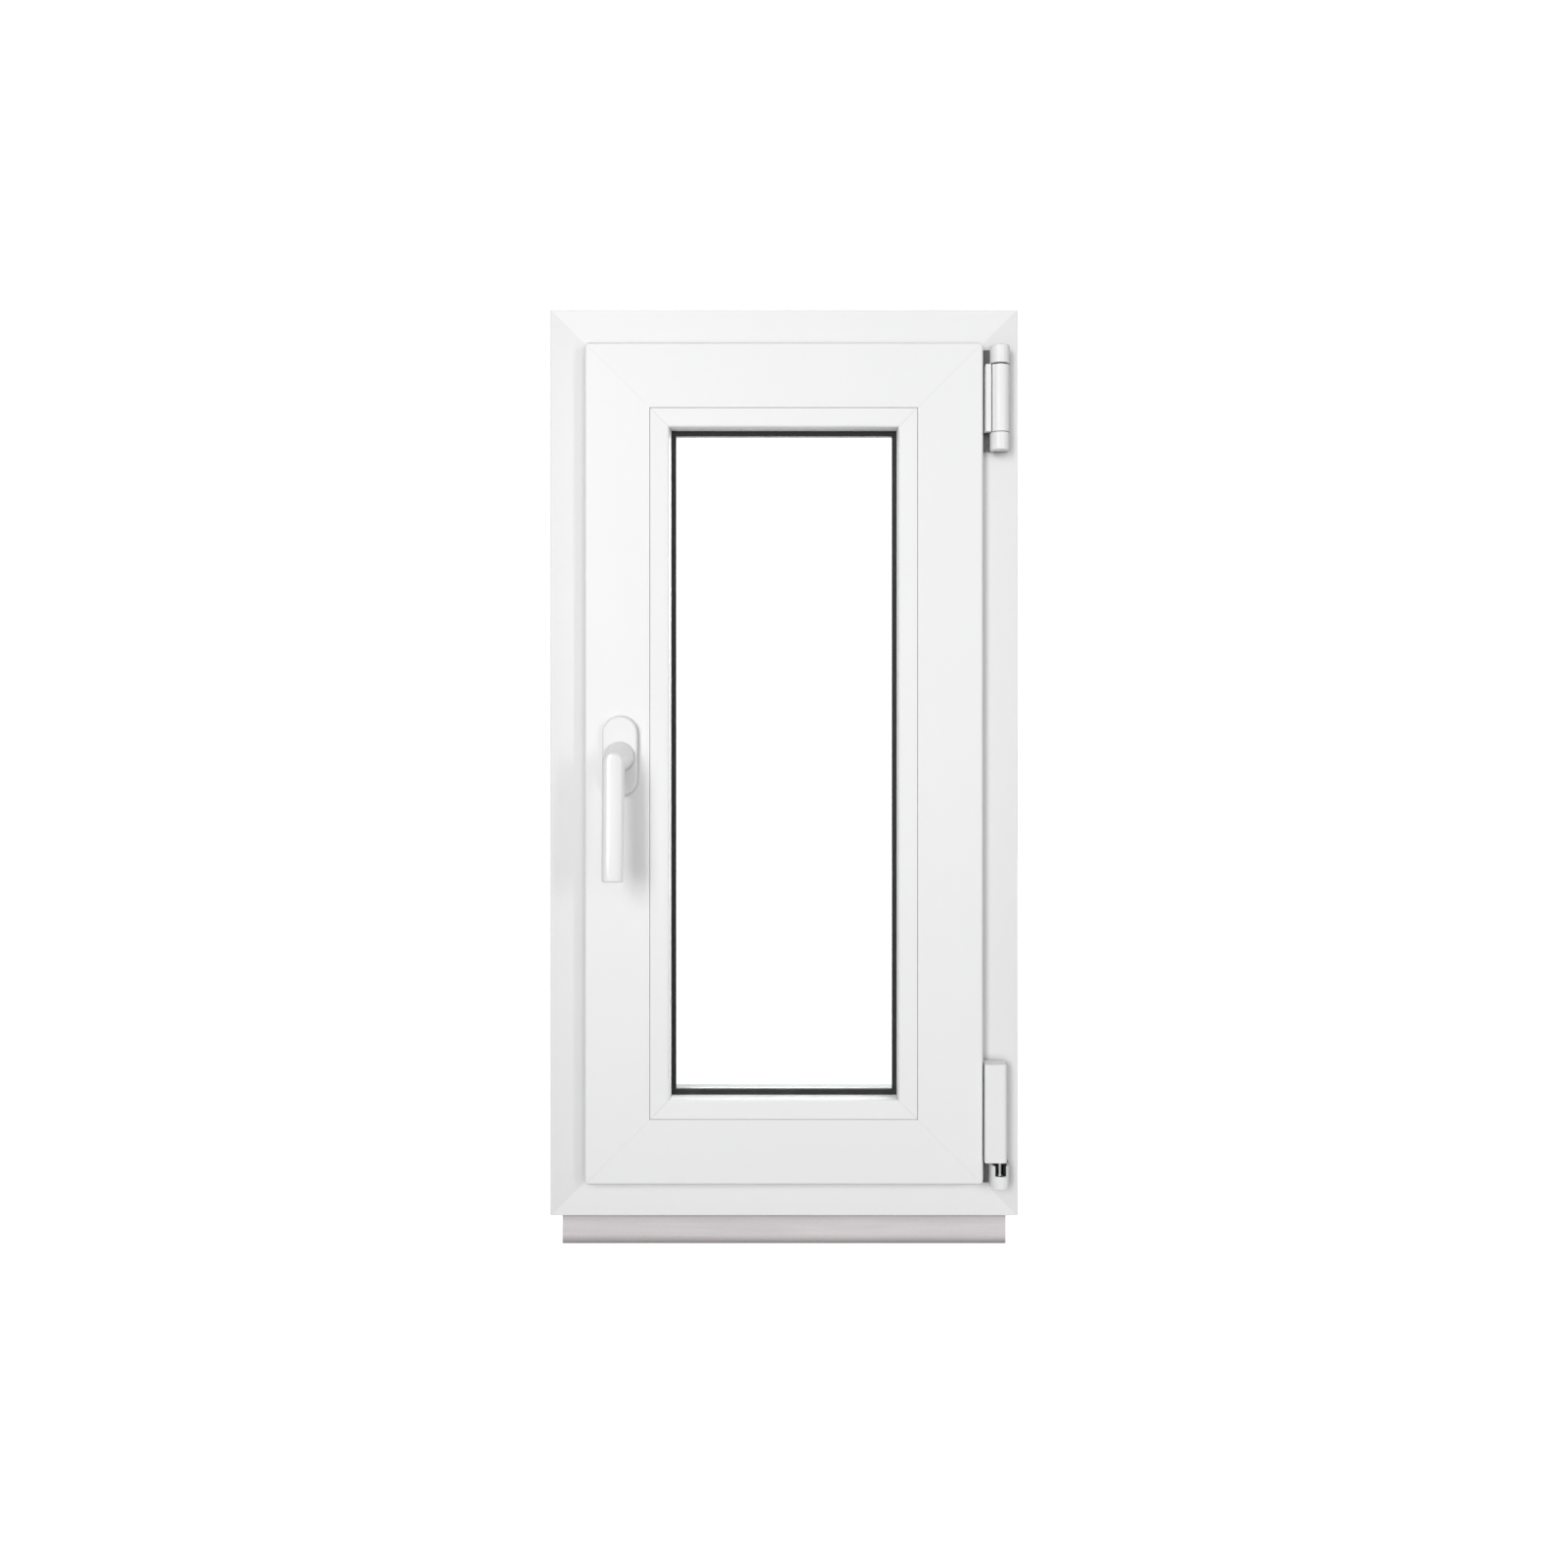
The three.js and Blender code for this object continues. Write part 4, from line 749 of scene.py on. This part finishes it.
def make_floor():
    """A plain pale floor that runs to the horizon."""
    bm = bmesh.new()
    bmesh.ops.create_grid(bm, x_segments=1, y_segments=1, size=40)
    mesh = bpy.data.meshes.new("floor")
    bm.to_mesh(mesh)
    bm.free()
    material = new_shader("pale_floor", (0.5, 0.5, 0.5), 0.8, specular=0.2)
    inputs = material.node_tree.nodes["Principled BSDF"].inputs
    inputs["Emission Color"].default_value = (1, 1, 1, 1)
    place = put(material, "ShaderNodeTexCoord").outputs["Object"]
    away = put(material, "ShaderNodeVectorMath", {"operation": "LENGTH"})
    material.node_tree.links.new(place, away.inputs[0])
    glow = put(material, "ShaderNodeMath", {"operation": "MULTIPLY"})
    paling = spread(material, away.outputs["Value"], 0.84, 1, 0.4, 3)
    material.node_tree.links.new(paling, glow.inputs[0])
    material.node_tree.links.new(seen_directly(material.node_tree), glow.inputs[1])
    drive(material, "Emission Strength", glow.outputs["Value"])
    mesh.materials.append(material)
    floor = bpy.data.objects.new("floor", mesh)
    bpy.context.scene.collection.objects.link(floor)


def make_light(name, place, width, height, watts):
    """A soft upright light at a place, turned to the middle of the window."""
    data = bpy.data.lights.new(name, "AREA")
    data.shape = "RECTANGLE"
    data.size = width
    data.size_y = height
    data.energy = watts
    light = bpy.data.objects.new(name, data)
    light.location = place
    towards = Vector(WINDOW_MIDDLE) - Vector(place)
    light.rotation_euler = towards.to_track_quat("-Z", "Y").to_euler()
    bpy.context.scene.collection.objects.link(light)


def make_world():
    """An even white studio: bright to the eye, and a soft fill as a light."""
    as_a_light = 0.3
    to_the_eye = 1.2
    world = bpy.data.worlds.new("studio")
    bpy.context.scene.world = world
    world.use_nodes = True
    tree = world.node_tree
    strength = tree.nodes.new("ShaderNodeMapRange")
    strength.inputs["To Min"].default_value = as_a_light
    strength.inputs["To Max"].default_value = to_the_eye
    background = tree.nodes["Background"]
    background.inputs["Color"].default_value = (1, 1, 1, 1)
    tree.links.new(seen_directly(tree), strength.inputs["Value"])
    tree.links.new(strength.outputs["Result"], background.inputs["Strength"])


def make_camera():
    """A level camera a little above the window's middle, its lens shifted down to frame it."""
    data = bpy.data.cameras.new("camera")
    data.sensor_width = 36
    data.lens = 31.3
    face = -0.035  # the room face of the frame
    sideways = 0.02
    height = 0.55
    middle = 0.4738  # the height in the middle of the picture
    reach = 1.4  # from the lens to the face of the frame
    data.shift_x = -sideways / reach * data.lens / data.sensor_width
    data.shift_y = (middle - height) / reach * data.lens / data.sensor_width
    camera = bpy.data.objects.new("camera", data)
    camera.location = (sideways, face - reach, height)
    camera.rotation_euler = (math.pi / 2, 0, 0)
    bpy.context.scene.collection.objects.link(camera)
    bpy.context.scene.camera = camera


make_floor()
make_light("key", (-1.24, -3.4, 1.26), width=0.8, height=2.0, watts=50)
make_light("front", (0.1, -3.6, 0.85), width=2.6, height=2.6, watts=32)
make_light("fill", (1.9, -2.7, 1.0), width=0.35, height=1.2, watts=16)
make_light("behind", (1.3, 3.2, 1.6), width=1.6, height=1.6, watts=70)
make_world()
make_camera()
bpy.context.scene.view_settings.view_transform = "Standard"
